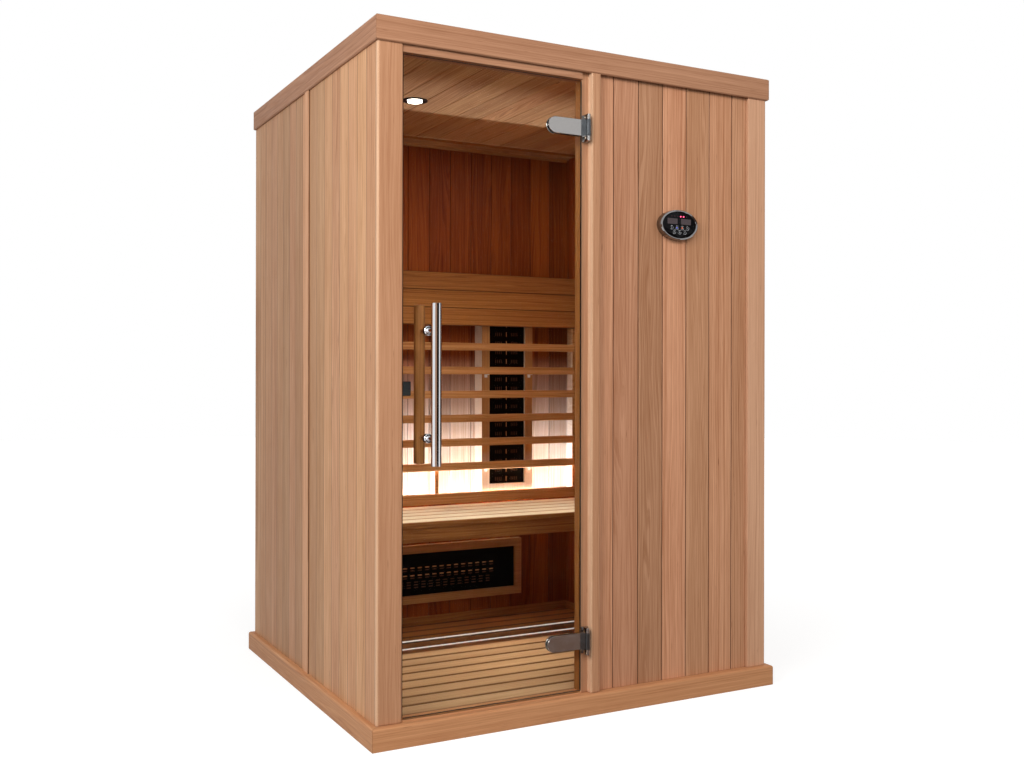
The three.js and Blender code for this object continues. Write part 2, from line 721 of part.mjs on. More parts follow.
// Bench
function addBench() {
  const end = innerSide - seatGap;
  const slatFoot = benchHeight - benchSlatThickness;
  const pitch = benchSlatWidth + benchSlatGap;
  const rear = backrestFront - benchRearGap;
  const front = rear - benchSlatCount * pitch + benchSlatGap;
  const slats = Array.from({ length: benchSlatCount }, (_, i) => {
    const y = front + i * pitch;
    return sawnBoard(-end, end, y, y + benchSlatWidth, slatFoot, benchHeight);
  });
  const boardBack = front + benchFrontSetback + benchFrontThickness;
  const battenSpan = 2 * (end - cleatWidth) / benchBattenCount;
  const battens = Array.from({ length: benchBattenCount }, (_, i) => {
    const x = (i - (benchBattenCount - 1) / 2) * battenSpan;
    return block(x - benchBattenWidth / 2, x + benchBattenWidth / 2, boardBack + seatGap, rear,
      slatFoot - benchBattenHeight, slatFoot + tenon);
  });
  add('bench_seat', joined([...slats, ...battens]), paleWood);

  const boardTop = slatFoot - seatGap;
  add('bench_front_board', sawnBoard(-end, end, boardBack - benchFrontThickness, boardBack,
    boardTop - benchFrontHeight, boardTop), insideWood);

  for (const [side, sign] of [['left', -1], ['right', 1]]) {
    const xs = [sign * end, sign * (end - cleatWidth)].sort((a, b) => a - b);
    const cleat = block(...xs, boardBack + seatGap, rear, boardTop - cleatHeight, boardTop);
    add(`bench_cleat_${side}`, cleat, insideWood);
  }
}

// Backrest and the light strip behind its foot
function addBackrest() {
  const end = innerSide - seatGap;
  const slatBack = backrestFront + backSlatDepth;
  const slats = Array.from({ length: backSlatCount }, (_, i) => {
    const z = firstSlat + i * backSlatPitch;
    return sawnBoard(-end, end, backrestFront, slatBack, z, z + backSlatHeight);
  });
  const rail = sawnBoard(-end, end, backrestFront, slatBack, railFoot, railTop);
  const uprightFoot = (stripTop + railTop) / 2;
  const outerX = end - uprightWidth / 2;
  const uprights = [-outerX, 0, outerX].map((x) => block(x - uprightWidth / 2, x + uprightWidth / 2,
    uprightFront, uprightFront + uprightDepth, uprightFoot, headrestTop));
  add('backrest_lattice', joined([rail, ...slats, ...uprights]), insideWood);

  const headBack = uprightFront - seatGap;
  const jointCount = headrestPlankCount - 1;
  const joints = Array.from({ length: jointCount }, (_, i) => headrestFoot + (i + 1) * headrestPlankHeight);
  const section = [
    [backrestFront + edgeEase, headrestFoot], [backrestFront, headrestFoot + edgeEase],
    ...swapped(grooves(joints, backrestFront, 1)),
    [backrestFront, headrestTop - edgeEase], [backrestFront + edgeEase, headrestTop],
    [headBack, headrestTop], [headBack, headrestFoot],
  ];
  add('headrest', across(section, -end, end), insideWood);

  const stripFront = slatBack + seatGap;
  add('light_strip', sawnBoard(-end + stripEndGap, end - stripEndGap, stripFront, stripFront + stripDepth,
    stripFoot, stripTop), lampWhite);
}

// A heater: a wooden frame on the rear wall, and the black panel in its opening
function heaterPieces(width, height, depth, frame, recess) {
  const back = innerRear - seatGap;
  const front = back - depth;
  const inside = { x: width / 2 - frame, z: height / 2 - frame };
  const hole = toShape(easedRectangle(-inside.x, inside.x, -inside.z, inside.z, 0.1));
  const outline = toShape(easedRectangle(-width / 2, width / 2, -height / 2, height / 2));
  const panelFront = front + recess;
  const half = { x: inside.x - seatGap, z: inside.z - seatGap };
  const panel = toShape(easedRectangle(-half.x, half.x, -half.z, half.z));
  return {
    frame: frontToBack(outline, front, back, [hole]),
    panel: frontToBack(panel, panelFront, panelFront + heaterPanelThickness),
  };
}

function addHeaters() {
  const back = heaterPieces(
    backHeaterWidth, backHeaterHeight, backHeaterDepth, backHeaterFrame, backHeaterRecess,
  );
  const backX = innerSide - backHeaterInset;
  const backZ = stripTop + backHeaterLift + backHeaterHeight / 2;
  for (const [side, sign] of [['left', -1], ['right', 1]]) {
    add(`back_heater_frame_${side}`, back.frame, insideWood).position.set(sign * backX, 0, backZ);
    add(`back_heater_panel_${side}`, back.panel, heaterBlack).position.set(sign * backX, 0, backZ);
  }
  const calf = heaterPieces(
    calfHeaterWidth, calfHeaterHeight, calfHeaterDepth, calfHeaterFrame, calfHeaterRecess,
  );
  const calfZ = duckTop + calfHeaterLift + calfHeaterHeight / 2;
  add('calf_heater_frame', calf.frame, insideWood).position.z = calfZ;
  add('calf_heater_panel', calf.panel, heaterBlack).position.z = calfZ;
}

addBase();
addWalls();
addFront();
addRoof();
addDoor();
addKeyPanel();
addBench();
addBackrest();
addHeaters();

export default cabin;
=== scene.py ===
"""Infrared sauna cabin: finishes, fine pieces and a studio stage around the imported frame.

Metres, +Z up. Seen from the front, +X is to the right and +Y is to the back.
"""

import math
from collections import namedtuple
from functools import partial

import bmesh
import bpy
from mathutils import Matrix, Vector


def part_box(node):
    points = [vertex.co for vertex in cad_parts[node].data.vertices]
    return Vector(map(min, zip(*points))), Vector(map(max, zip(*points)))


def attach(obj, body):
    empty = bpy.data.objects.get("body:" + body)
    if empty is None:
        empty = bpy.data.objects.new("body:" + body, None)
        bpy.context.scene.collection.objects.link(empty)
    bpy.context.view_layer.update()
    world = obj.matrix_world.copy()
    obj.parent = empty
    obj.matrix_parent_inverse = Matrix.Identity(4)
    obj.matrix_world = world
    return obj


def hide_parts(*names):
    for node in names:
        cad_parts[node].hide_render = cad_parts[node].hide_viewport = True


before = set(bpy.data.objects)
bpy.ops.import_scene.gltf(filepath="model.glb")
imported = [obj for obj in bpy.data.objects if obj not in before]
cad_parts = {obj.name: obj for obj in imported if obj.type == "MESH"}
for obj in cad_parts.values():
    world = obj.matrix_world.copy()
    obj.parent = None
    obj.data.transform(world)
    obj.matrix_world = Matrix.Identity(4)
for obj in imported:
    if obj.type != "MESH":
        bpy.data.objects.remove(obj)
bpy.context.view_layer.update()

bl_info = {
    "name": "Infrared sauna cabin",
    "version": (1, 0, 0),
    "blender": (4, 5, 0),
    "location": "View3D > Sidebar > Sauna",
    "description": "Dresses the cabin's frame in wood, glass and metal and sets up a studio stage",
    "category": "Object",
}

MM = 0.001
SEAT_GAP = 0.3 * MM  # between two pieces that seat on one another
WELD = 0.001 * MM  # points closer than this are joined
FAR = 9.0  # beyond every piece of the cabin
BACKREST_FOOT = 490 * MM  # height over the ground
ROUND = 64  # steps round a turned piece
UPWARDS = (math.pi, 0, 0)  # turns a lamp to shine up
WHITE = (1, 1, 1, 1)
SIDES = ("left", "right")
LEVELS = ("upper", "lower")
KEYS = tuple(f"control_key_{i}" for i in range(1, 8))
AXES = {"x": 0, "y": 1, "z": 2}
# Finishes on the face of the key panel, after that of the plate itself
WINDOW, FIGURE, LAMP_OFF, LAMP_LIT = range(1, 5)

# The inner side of a piece: how far it reaches from the cabin's middle in x and y, and its two tones
Lining = namedtuple("Lining", "reach light dark")
# Painted glow of the light strip: wood painted pale behind a depth and above a foot, fading between two
# heights
StripGlow = namedtuple("StripGlow", "start foot fade end")
# A stroke of the sign on a key, in mm: its half sizes, and its place from the key's middle
Stroke = namedtuple("Stroke", "half_width half_height across up", defaults=(0, 0))
SIGNS = {
    KEYS[0]: [Stroke(0.5, 2.4)],
    KEYS[1]: [Stroke(1.9, 1.9)],
    KEYS[2]: [Stroke(1.7, 1.7, up=0.4)],
    KEYS[3]: [Stroke(2.4, 0.5)],
    KEYS[4]: [Stroke(2.2, 0.5), Stroke(0.5, 2.2)],
    KEYS[5]: [Stroke(0.5, 2, across=-1), Stroke(0.5, 2, across=1)],
    KEYS[6]: [Stroke(2.2, 0.5)],
}


def linear(hex_colour):
    """An sRGB hex colour as a linear RGBA colour."""
    channels = [int(hex_colour[i:i + 2], 16) / 255 for i in (1, 3, 5)]
    return tuple(c / 12.92 if c <= 0.04045 else ((c + 0.055) / 1.055) ** 2.4 for c in channels) + (1.0,)


def hue(name, description, hex_colour):
    """A colour property with an sRGB hex default."""
    return bpy.props.FloatVectorProperty(
        name=name, description=description, subtype="COLOR", size=4, min=0, max=1,
        default=linear(hex_colour))


def length(name, description, millimetres):
    """A length property with a default in millimetres."""
    return bpy.props.FloatProperty(
        name=name, description=description, unit="LENGTH", min=0, default=millimetres * MM)


class CabinColours(bpy.types.PropertyGroup):
    """Colours of the cabin's materials."""

    front_light: hue("Front light wood", "Early wood of the front boards", "#d09b78")
    front_dark: hue("Front dark wood", "Late wood of the front boards", "#99623f")
    post_light: hue("Post light wood", "Early wood of the stiles and the jamb", "#c69572")
    post_dark: hue("Post dark wood", "Late wood of the stiles and the jamb", "#a06c4b")
    corner_light: hue("Corner light wood", "Early wood of the paler right stile", "#d8a887")
    corner_dark: hue("Corner dark wood", "Late wood of the paler right stile", "#b28060")
    # The two edge tones are a painted highlight: paler wood painted on left-facing edges, where the light
    # from the left falls.
    edge_light: hue("Edge light wood", "Early wood on the left edges of the stile and the jamb", "#efc6a2")
    edge_dark: hue("Edge dark wood", "Late wood on the left edges of the stile and the jamb", "#cf9f7b")
    side_light: hue("Side light wood", "Early wood of the side walls", "#dcab83")
    side_dark: hue("Side dark wood", "Late wood of the side walls", "#a56e45")
    plinth_light: hue("Plinth light wood", "Early wood of the plinth", "#d59c6f")
    plinth_dark: hue("Plinth dark wood", "Late wood of the plinth", "#ab7049")
    fascia_light: hue("Fascia light wood", "Early wood of the fascia and the header", "#c08e6e")
    fascia_dark: hue("Fascia dark wood", "Late wood of the fascia and the header", "#8f5f42")
    lining_light: hue("Lining light wood", "Early wood of the lining", "#9a4c1c")
    lining_dark: hue("Lining dark wood", "Late wood of the lining", "#6f2d0c")
    slat_light: hue("Slat light wood", "Early wood of the backrest and the heater frames", "#d09660")
    slat_dark: hue("Slat dark wood", "Late wood of the backrest and the heater frames", "#a26638")
    brown_light: hue("Brown light wood", "Early wood of the headrest, bench front and base", "#b2743f")
    brown_dark: hue("Brown dark wood", "Late wood of the headrest, bench front and base", "#824c24")
    ceiling_light: hue("Ceiling light wood", "Early wood of the ceiling", "#d9ab7a")
    ceiling_dark: hue("Ceiling dark wood", "Late wood of the ceiling", "#ae784a")
    seat_light: hue("Seat light wood", "Early wood of the bench", "#f1ead9")
    seat_dark: hue("Seat dark wood", "Late wood of the bench", "#d9c4a6")
    seat_seam: hue("Seat gap", "Shade along the gaps of the bench", "#a97a48")
    # The two glow tones are painted light: the pale wood is painted where the light strip shines.
    glow_pale_light: hue("Fresh light wood", "Early wood of the lining where it is sheltered", "#f8eedf")
    glow_pale_dark: hue("Fresh dark wood", "Late wood of the lining where it is sheltered", "#e2c8a8")
    floor_light: hue("Floor light wood", "Early wood of the slatted floor", "#d8b38b")
    floor_dark: hue("Floor dark wood", "Late wood of the slatted floor", "#b78a60")
    floor_seam: hue("Floor gap", "Shade along the gaps of the slatted floor", "#6a3c1c")
    resin: hue("Resin streak", "Short dark streaks in the wood", "#6b3d22")
    joint: hue("Board joint", "Shade in the groove between two boards", "#3a1d0c")
    chrome: hue("Chrome", "Polished handle", "#dedfe2")
    bezel: hue("Bezel", "Polished bezel of the key panel", "#8a8888")
    nickel: hue("Nickel", "Satin hinges", "#a5a2a0")
    # The knuckle tone is painted shade: a darker copy of the nickel for the dark part of the room the
    # knuckles reflect.
    knuckle: hue("Hinge knuckle", "Satin hinge knuckles, in a deeper tone", "#5a5d60")
    black: hue("Black plastic", "Key panel, door catch and lamp rings", "#0b0b0d")
    heater: hue("Heater black", "Heater plates", "#080605")
    bronze: hue("Heater slots", "The warm emitter seen through the heater's slots", "#c98d5a")
    ember: hue("Dim heater slots", "The emitter where it is deeper behind the slots", "#5a3a26")
    zinc: hue("Zinc", "Clips of the backrest", "#d9d6cf")
    paint: hue("Box paint", "Power box on the roof", "#85888a")
    screen: hue("Display", "Tinted windows of the displays", "#4c4143")
    segment: hue("Display figures", "Unlit figures of the displays", "#3d3335")
    print_grey: hue("Key print", "Signs printed on the keys", "#a9a9ad")
    lens_blue: hue("Blue lens", "Lit lens of the second key", "#7d86ff")
    lens_red: hue("Red lens", "Lit lens of the third key", "#ff7a55")
    led_off: hue("Unlit signal lamp", "Signal lamps that are off", "#3a1620")
    pane: hue("Door glass", "Tint of the door glass", "#f8fbf9")
    pane_shade: hue("Glass shade", "How the door glass dims the lamps' light", "#8c8c8c")
    # The glass edge tone is painted shade: the edge faces are drawn dark for the shade in the gaps round
    # the glass.
    pane_edge: hue("Glass edge", "Dark seal along the edges of the door glass", "#180c07")
    lamp: hue("Lamp light", "Ceiling lights", "#fff0da")
    strip: hue("Strip light", "Light strip behind the backrest", "#e6eeff")
    # The light line tone is painted light, for strips that glow though they are no lamp.
    line: hue("Light line", "Thin light lines on the base under the bench", "#e9dfd8")
    led: hue("Signal lamp", "Lit signal lamps on the key panel", "#ff4a78")


class CabinSizes(bpy.types.PropertyGroup):
    """Sizes of the cabin's fine pieces."""

    board: length("Board width", "Width of a tongue and groove board", 87.5)
    first_board: length("First board", "What shows of the front board beside the jamb", 55.7)
    side_board: length("Side board width", "Width of a board on the side walls", 69)
    slat_foot: length("Lowest slat", "Height of the underside of the backrest's lowest slat", 613)
    slat_pitch: length("Backrest pitch", "From one slat of the backrest to the next", 90)
    seat_pitch: length("Seat pitch", "From one slat of the seat to the next", 78.9)
    seat_gap: length("Seat gap", "Gap between two slats of the seat", 7.5)
    floor_pitch: length("Floor pitch", "From one slat of the floor to the next", 75.5)
    floor_gap: length("Floor gap", "Gap between two slats of the floor", 9.5)
    headrest_plank: length("Headrest plank", "Height of a plank of the headrest", 65.4)
    floor_front_board: length("Floor front board", "Depth of the floor's board at the door", 97)
    edge: length("Edge rounding", "Rounding on sawn edges", 1.6)
    bead: length("Metal edge", "Rounding on metal edges", 0.7)
    bench_lath: length("Bench lath", "Thickness of the lath on the front edge of the bench", 3)
    lath_depth: length("Lath depth", "Flat lath on the ceiling along the rear wall", 68)
    lath_thickness: length("Lath thickness", "Flat lath on the ceiling along the rear wall", 10)
    cove: length("Cove", "Quarter moulding under the lath at the rear wall", 12)
    line_setback: length("Light line setback", "From the slatted floor to the first light line", 132)
    line_spacing: length("Light line spacing", "From the first light line to the second", 100)
    line_height: length("Light line height", "Height of a light line", 4)
    line_depth: length("Light line depth", "Depth of a light line", 3)
    hinge_strap: length("Hinge strap", "Thickness of a hinge's strap", 4)
    hinge_leaf: length("Hinge leaf", "Thickness of a hinge's leaf on the jamb", 3)
    hinge_boss: length("Hinge boss", "Diameter of a hinge's bosses through the glass", 12)
    hinge_boss_pitch: length("Boss pitch", "From one boss of a hinge to the other", 52)
    screw: length("Screw head", "Diameter of a screw head", 7)
    slot_long: length("Heater slot length", "Length of a slot in a heater plate", 17)
    slot_short: length("Heater slot height", "Height of a slot in a heater plate", 4.5)


def tones(wood):
    """The early and the late tone of one of the cabin's woods."""
    colours = bpy.context.scene.cabin_colours
    return getattr(colours, f"{wood}_light"), getattr(colours, f"{wood}_dark")


def add_node(tree, kind, settings=None, inputs=None):
    """Adds a node with its settings, and with values or links for its inputs, and gives its outputs."""
    node = tree.nodes.new("ShaderNode" + kind)
    for key, value in (settings or {}).items():
        setattr(node, key, value)
    for key, value in (inputs or {}).items():
        if isinstance(value, bpy.types.NodeSocket):
            tree.links.new(value, node.inputs[key])
        else:
            node.inputs[key].default_value = value
    return node.outputs


def new_material(name):
    """A material with an empty node tree."""
    material = bpy.data.materials.new(name)
    material.use_nodes = True
    material.node_tree.nodes.clear()
    return material, material.node_tree


def planed_wood(name, light, dark, grain, across, board=0.0, origin=0.0, spread=0.1, streaks=0.5,
                figure=0.5, lining=None, strip_glows=(), joint=1.3 * MM, seam=None, ease=1.6 * MM,
                left_highlight=None):
    """Planed softwood with a clear satin finish: fine late-wood lines that wander into arches on some
    boards, soft patches and a few short resin streaks. Each board has its own tone and figure, and the
    joints are dark. On request it also paints light: a highlight on faces that look to the left, and the
    pale glow of the light strip."""
    ring_width, arch_width, arch_length = 7 * MM, 70 * MM, 900 * MM
    # Fibres are finer than the render shows, so they are drawn about three times as coarse.
    fibre_width, fibre_length = 2.6 * MM, 110 * MM
    streak_width, streak_length = 4 * MM, 60 * MM
    lot_step, board_step, lot_reach = 57.0, 7.31, 40.0
    colours = bpy.context.scene.cabin_colours
    material, tree = new_material(name)
    add = partial(add_node, tree)
    place = add("TexCoord")["Object"]
    sides = add("SeparateXYZ", inputs={0: place})
    wide = sides[AXES[across]]

    # Each board draws three numbers by lot: for its tone, its hue and its arches.
    seed = add("Math", {"operation": "MULTIPLY"}, {0: add("ObjectInfo")["Random"], 1: lot_step})[0]
    if board:
        from_first = add("Math", {"operation": "SUBTRACT"}, {0: wide, 1: origin})[0]
        boards = add("Math", {"operation": "DIVIDE"}, {0: from_first, 1: board})[0]
        number = add("Math", {"operation": "FLOOR"}, {0: boards})[0]
        seed = add("Math", {"operation": "MULTIPLY_ADD"}, {0: number, 1: board_step, 2: seed})[0]
    luck = add("TexWhiteNoise", {"noise_dimensions": "1D"}, {"W": seed})["Color"]
    tone_luck, shift_luck, arch_luck = list(add("SeparateColor", inputs={0: luck}))
    shift = add("VectorMath", {"operation": "SCALE"}, {0: luck, "Scale": lot_reach})[0]

    def drawn_out(width, run, detail):
        """Noise drawn out along the grain, in a place of its own on each board."""
        scale = [1 / (run if axis == grain else width) for axis in AXES]
        spot = add("VectorMath", {"operation": "MULTIPLY_ADD"}, {0: place, 1: scale, 2: shift})[0]
        return add("TexNoise", inputs={"Vector": spot, "Scale": 1.0, "Detail": detail})["Fac"]

    arch = drawn_out(arch_width, arch_length, 2.0)
    swing = add("MapRange", inputs={"Value": arch_luck, "To Min": 2.0, "To Max": 18.0})[0]
    straight = add("Math", {"operation": "DIVIDE"}, {0: wide, 1: ring_width})[0]
    ring_place = add("Math", {"operation": "MULTIPLY_ADD"}, {0: arch, 1: swing, 2: straight})[0]
    rings = add("TexNoise", {"noise_dimensions": "1D"}, {
        "W": ring_place, "Scale": 1.0, "Detail": 3.0, "Roughness": 0.65})["Fac"]
    fibres = drawn_out(fibre_width, fibre_length, 3.0)
    ring_tone = add("MapRange", inputs={
        "Value": rings, "From Min": 0.34, "From Max": 0.68, "To Min": 0.42 - 0.42 * figure,
        "To Max": 0.42 + 0.55 * figure})[0]
    patch_tone = add("MapRange", inputs={
        "Value": arch, "From Min": 0.3, "From Max": 0.7, "To Min": -0.35 * figure,
        "To Max": 0.35 * figure})[0]
    fibre_tone = add("MapRange", inputs={
        "Value": fibres, "From Min": 0.35, "From Max": 0.68, "To Min": -0.18 * figure - 0.05,
        "To Max": 0.22 * figure + 0.06})[0]
    broad = add("Math", {"operation": "ADD"}, {0: ring_tone, 1: patch_tone})[0]
    tone = add("Math", {"operation": "ADD"}, {0: broad, 1: fibre_tone})[0]

    eased = add("Bevel", {"samples": 4}, {"Radius": ease})[0]
    early, late = light, dark
    if left_highlight:
        # Painted highlight: faces and rounded edges that look to the left are painted paler, as lit by the
        # light from the left.
        across_face = add("SeparateXYZ", inputs={0: eased})["X"]
        leftward = add("MapRange", inputs={
            "Value": across_face, "From Min": -0.15, "From Max": -0.6, "To Min": 0.0, "To Max": 1.0})[0]
        early = add("Mix", {"data_type": "RGBA"}, {"Factor": leftward, 6: early, 7: left_highlight[0]})[2]
        late = add("Mix", {"data_type": "RGBA"}, {"Factor": leftward, 6: late, 7: left_highlight[1]})[2]
    if lining:
        offset = add("VectorMath", {"operation": "ABSOLUTE"}, {0: place})[0]
        spare = add("VectorMath", {"operation": "SUBTRACT"}, {0: (*lining.reach, FAR), 1: offset})[0]
        spare = add("SeparateXYZ", inputs={0: spare})
        least = add("Math", {"operation": "MINIMUM"}, {0: spare["X"], 1: spare["Y"]})[0]
        inside = add("Math", {"operation": "GREATER_THAN"}, {0: least, 1: 0.0})[0]
        early = add("Mix", {"data_type": "RGBA"}, {"Factor": inside, 6: early, 7: lining.light})[2]
        late = add("Mix", {"data_type": "RGBA"}, {"Factor": inside, 6: late, 7: lining.dark})[2]
    for spot in strip_glows:
        # Painted light: behind the backrest, where the light strip shines, the wood is painted pale.
        behind = add("Math", {"operation": "GREATER_THAN"}, {0: sides["Y"], 1: spot.start})[0]
        above = add("Math", {"operation": "GREATER_THAN"}, {0: sides["Z"], 1: spot.foot})[0]
        glow_fade = add("MapRange", inputs={
            "Value": sides["Z"], "From Min": spot.fade, "From Max": spot.end, "To Min": 1.0,
            "To Max": 0.0})[0]
        glow_zone = add("Math", {"operation": "MULTIPLY"}, {0: behind, 1: above})[0]
        pale = add("Math", {"operation": "MULTIPLY"}, {0: glow_zone, 1: glow_fade})[0]
        if lining:
            pale = add("Math", {"operation": "MULTIPLY"}, {0: pale, 1: inside})[0]
        early = add("Mix", {"data_type": "RGBA"}, {"Factor": pale, 6: early, 7: colours.glow_pale_light})[2]
        late = add("Mix", {"data_type": "RGBA"}, {"Factor": pale, 6: late, 7: colours.glow_pale_dark})[2]
    body = add("Mix", {"data_type": "RGBA"}, {"Factor": tone, 6: early, 7: late})[2]
    value = add("MapRange", inputs={
        "Value": tone_luck, "To Min": 1 - spread, "To Max": 1 + 0.8 * spread})[0]
    warmth = add("MapRange", inputs={
        "Value": shift_luck, "To Min": 0.5 - 0.015 * spread, "To Max": 0.5 + 0.015 * spread})[0]
    colour = add("HueSaturation", inputs={"Hue": warmth, "Value": value, "Color": body})[0]
    flecks = drawn_out(streak_width, streak_length, 1.0)
    fleck = add("MapRange", inputs={
        "Value": flecks, "From Min": 0.74, "From Max": 0.84, "To Min": 0.0, "To Max": streaks})[0]
    colour = add("Mix", {"data_type": "RGBA"}, {"Factor": fleck, 6: colour, 7: colours.resin})[2]
    if board and joint:
        part = add("Math", {"operation": "FRACT"}, {0: boards})[0]
        centred = add("Math", {"operation": "SUBTRACT"}, {0: part, 1: 0.5})[0]
        nearness = add("Math", {"operation": "ABSOLUTE"}, {0: centred})[0]
        edge = joint / board
        shade = add("MapRange", inputs={
            "Value": nearness, "From Min": 0.5 - edge, "From Max": 0.5 - 0.4 * edge, "To Min": 0.0,
            "To Max": 0.8})[0]
        colour = add("Mix", {"data_type": "RGBA"}, {
            "Factor": shade, 6: colour, 7: seam or colours.joint})[2]

    rough = add("MapRange", inputs={
        "Value": fibres, "From Min": 0.3, "From Max": 0.7, "To Min": 0.45, "To Max": 0.62})[0]
    relief = add("Bump", inputs={"Strength": 0.3, "Distance": 0.2 * MM, "Height": tone, "Normal": eased})[0]
    shader = add("BsdfPrincipled", inputs={
        "Base Color": colour, "Roughness": rough, "Normal": relief, "Specular IOR Level": 0.16})[0]
    add("OutputMaterial", inputs={"Surface": shader})
    return material


def bright_metal(name, base, low, high):
    """Polished or satin plated steel: bright, with faint wipe marks that just soften the reflections."""
    smear_size = 30 * MM
    material, tree = new_material(name)
    add = partial(add_node, tree)
    place = add("TexCoord")["Object"]
    smear = add("TexNoise", inputs={"Vector": place, "Scale": 1 / smear_size, "Detail": 4.0})["Fac"]
    rough = add("MapRange", inputs={
        "Value": smear, "From Min": 0.3, "From Max": 0.7, "To Min": low, "To Max": high})[0]
    shader = add("BsdfPrincipled", inputs={"Base Color": base, "Metallic": 1.0, "Roughness": rough})[0]
    add("OutputMaterial", inputs={"Surface": shader})
    return material


def moulded(name, base, low, high, grit, shine=0.3):
    """Moulded plastic, paint or a dull plated sheet: one even colour, with a grit that breaks up its
    sheen. Real grit is finer than the render shows, so each finish draws it coarser."""
    material, tree = new_material(name)
    add = partial(add_node, tree)
    place = add("TexCoord")["Object"]
    speck = add("TexNoise", inputs={"Vector": place, "Scale": 1 / grit, "Detail": 2.0})["Fac"]
    rough = add("MapRange", inputs={
        "Value": speck, "From Min": 0.3, "From Max": 0.7, "To Min": low, "To Max": high})[0]
    relief = add("Bump", inputs={"Strength": 0.12, "Distance": 0.1 * MM, "Height": speck})[0]
    shader = add("BsdfPrincipled", inputs={
        "Base Color": base, "Roughness": rough, "Normal": relief, "Specular IOR Level": shine})[0]
    add("OutputMaterial", inputs={"Surface": shader})
    return material


def clear_glass(low, high):
    """Tempered glass with a coating against reflections: clear and flat, with dark edges that are painted
    shade. Lamps shine through it, a little dimmed."""
    colours = bpy.context.scene.cabin_colours
    edge_reach = 0.2 * MM
    material, tree = new_material("tempered_glass_clear")
    add = partial(add_node, tree)
    pane = add("BsdfPrincipled", inputs={
        "Base Color": colours.pane, "Roughness": 0.0, "IOR": 1.04, "Transmission Weight": 1.0})[0]
    dimmed = add("BsdfTransparent", inputs={"Color": colours.pane_shade})[0]
    pane = add("MixShader", inputs={0: add("LightPath")["Is Shadow Ray"], 1: pane, 2: dimmed})[0]
    centre = (low + high) / 2
    half = (high - low) / 2
    place = add("TexCoord")["Object"]
    from_centre = add("VectorMath", {"operation": "SUBTRACT"}, {0: place, 1: centre})[0]
    outwards = add("VectorMath", {"operation": "ABSOLUTE"}, {0: from_centre})[0]
    reach = add("SeparateXYZ", inputs={0: outwards})
    # Painted shade: the edge faces of the glass are drawn dark, as the gaps round it.
    beside = add("Math", {"operation": "GREATER_THAN"}, {0: reach["X"], 1: half.x - edge_reach})[0]
    ends = add("Math", {"operation": "GREATER_THAN"}, {0: reach["Z"], 1: half.z - edge_reach})[0]
    rim = add("Math", {"operation": "MAXIMUM"}, {0: beside, 1: ends})[0]
    dark = add("BsdfPrincipled", inputs={"Base Color": colours.pane_edge, "Roughness": 0.4})[0]
    shader = add("MixShader", inputs={0: rim, 1: pane, 2: dark})[0]
    add("OutputMaterial", inputs={"Surface": shader})
    return material


def glowing(name, colour, strength):
    """A lit diffuser or lens: it shines in its own colour through a satin skin with faint mottling."""
    mottle_size = 6 * MM
    material, tree = new_material(name)
    add = partial(add_node, tree)
    place = add("TexCoord")["Object"]
    mottle = add("TexNoise", inputs={"Vector": place, "Scale": 1 / mottle_size})["Fac"]
    glow = add("MapRange", inputs={
        "Value": mottle, "From Min": 0.3, "From Max": 0.7, "To Min": 0.92 * strength,
        "To Max": 1.05 * strength})[0]
    shader = add("BsdfPrincipled", inputs={
        "Base Color": colour, "Roughness": 0.35, "Emission Color": colour, "Emission Strength": glow})[0]
    add("OutputMaterial", inputs={"Surface": shader})
    return material


def dress(names, material):
    """Gives CAD nodes a material."""
    for name in names:
        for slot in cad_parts[name].material_slots:
            slot.material = material


def add_piece(name, mesh, body, materials, replaces=(), smooth=30):
    """Makes a mesh an object that rides on a body and stands for CAD nodes."""
    data = bpy.data.meshes.new(name)
    bmesh.ops.recalc_face_normals(mesh, faces=mesh.faces)
    mesh.to_mesh(data)
    mesh.free()
    for polygon in data.polygons:
        polygon.use_smooth = True
    data.set_sharp_from_angle(angle=math.radians(smooth))
    for material in materials:
        data.materials.append(material)
    piece = bpy.data.objects.new(name, data)
    bpy.context.scene.collection.objects.link(piece)
    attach(piece, body)
    if replaces:
        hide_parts(*replaces)
    return piece


def turned(mesh, profile, place, steps=ROUND, squash=1.0, finish=0):
    """Adds a turned shape to a mesh. Its profile's points are radius and distance along the axis."""
    rings = []
    for radius, along in profile:
        if radius == 0:
            rings.append([mesh.verts.new(place @ Vector((0, 0, along)))])
            continue
        ring = [Vector((u, squash * v, along)) for u, v in oval(radius, radius, steps)]
        rings.append([mesh.verts.new(place @ point) for point in ring])
    for low, high in zip(rings, rings[1:]):
        for i in range(steps):
            j = (i + 1) % steps
            corners = [low[i % len(low)], low[j % len(low)], high[j % len(high)], high[i % len(high)]]
            face = mesh.faces.new(list(dict.fromkeys(corners)))
            face.material_index = finish


def slab(mesh, outline, low, high, place, bead=0.0, finish=0):
    """Adds a flat plate to a mesh: an outline from low to high along the place's axis, beaded all round."""
    centre = sum((Vector(point) for point in outline), Vector((0, 0))) / len(outline)
    levels = [(low, 0.0), (high, 0.0)]
    if bead:
        levels = [(low, bead), (low + bead, 0.0), (high - bead, 0.0), (high, bead)]
    rings = []
    for along, inset in levels:
        ring = []
        for u, v in outline:
            point = Vector((u, v))
            reach = (point - centre).length
            point = centre + (point - centre) * ((reach - inset) / reach)
            ring.append(mesh.verts.new(place @ Vector((point.x, point.y, along))))
        rings.append(ring)
    faces = [mesh.faces.new(rings[0][::-1]), mesh.faces.new(rings[-1])]
    for first, second in zip(rings, rings[1:]):
        for i in range(len(outline)):
            j = (i + 1) % len(outline)
            faces.append(mesh.faces.new((first[i], first[j], second[j], second[i])))
    for face in faces:
        face.material_index = finish


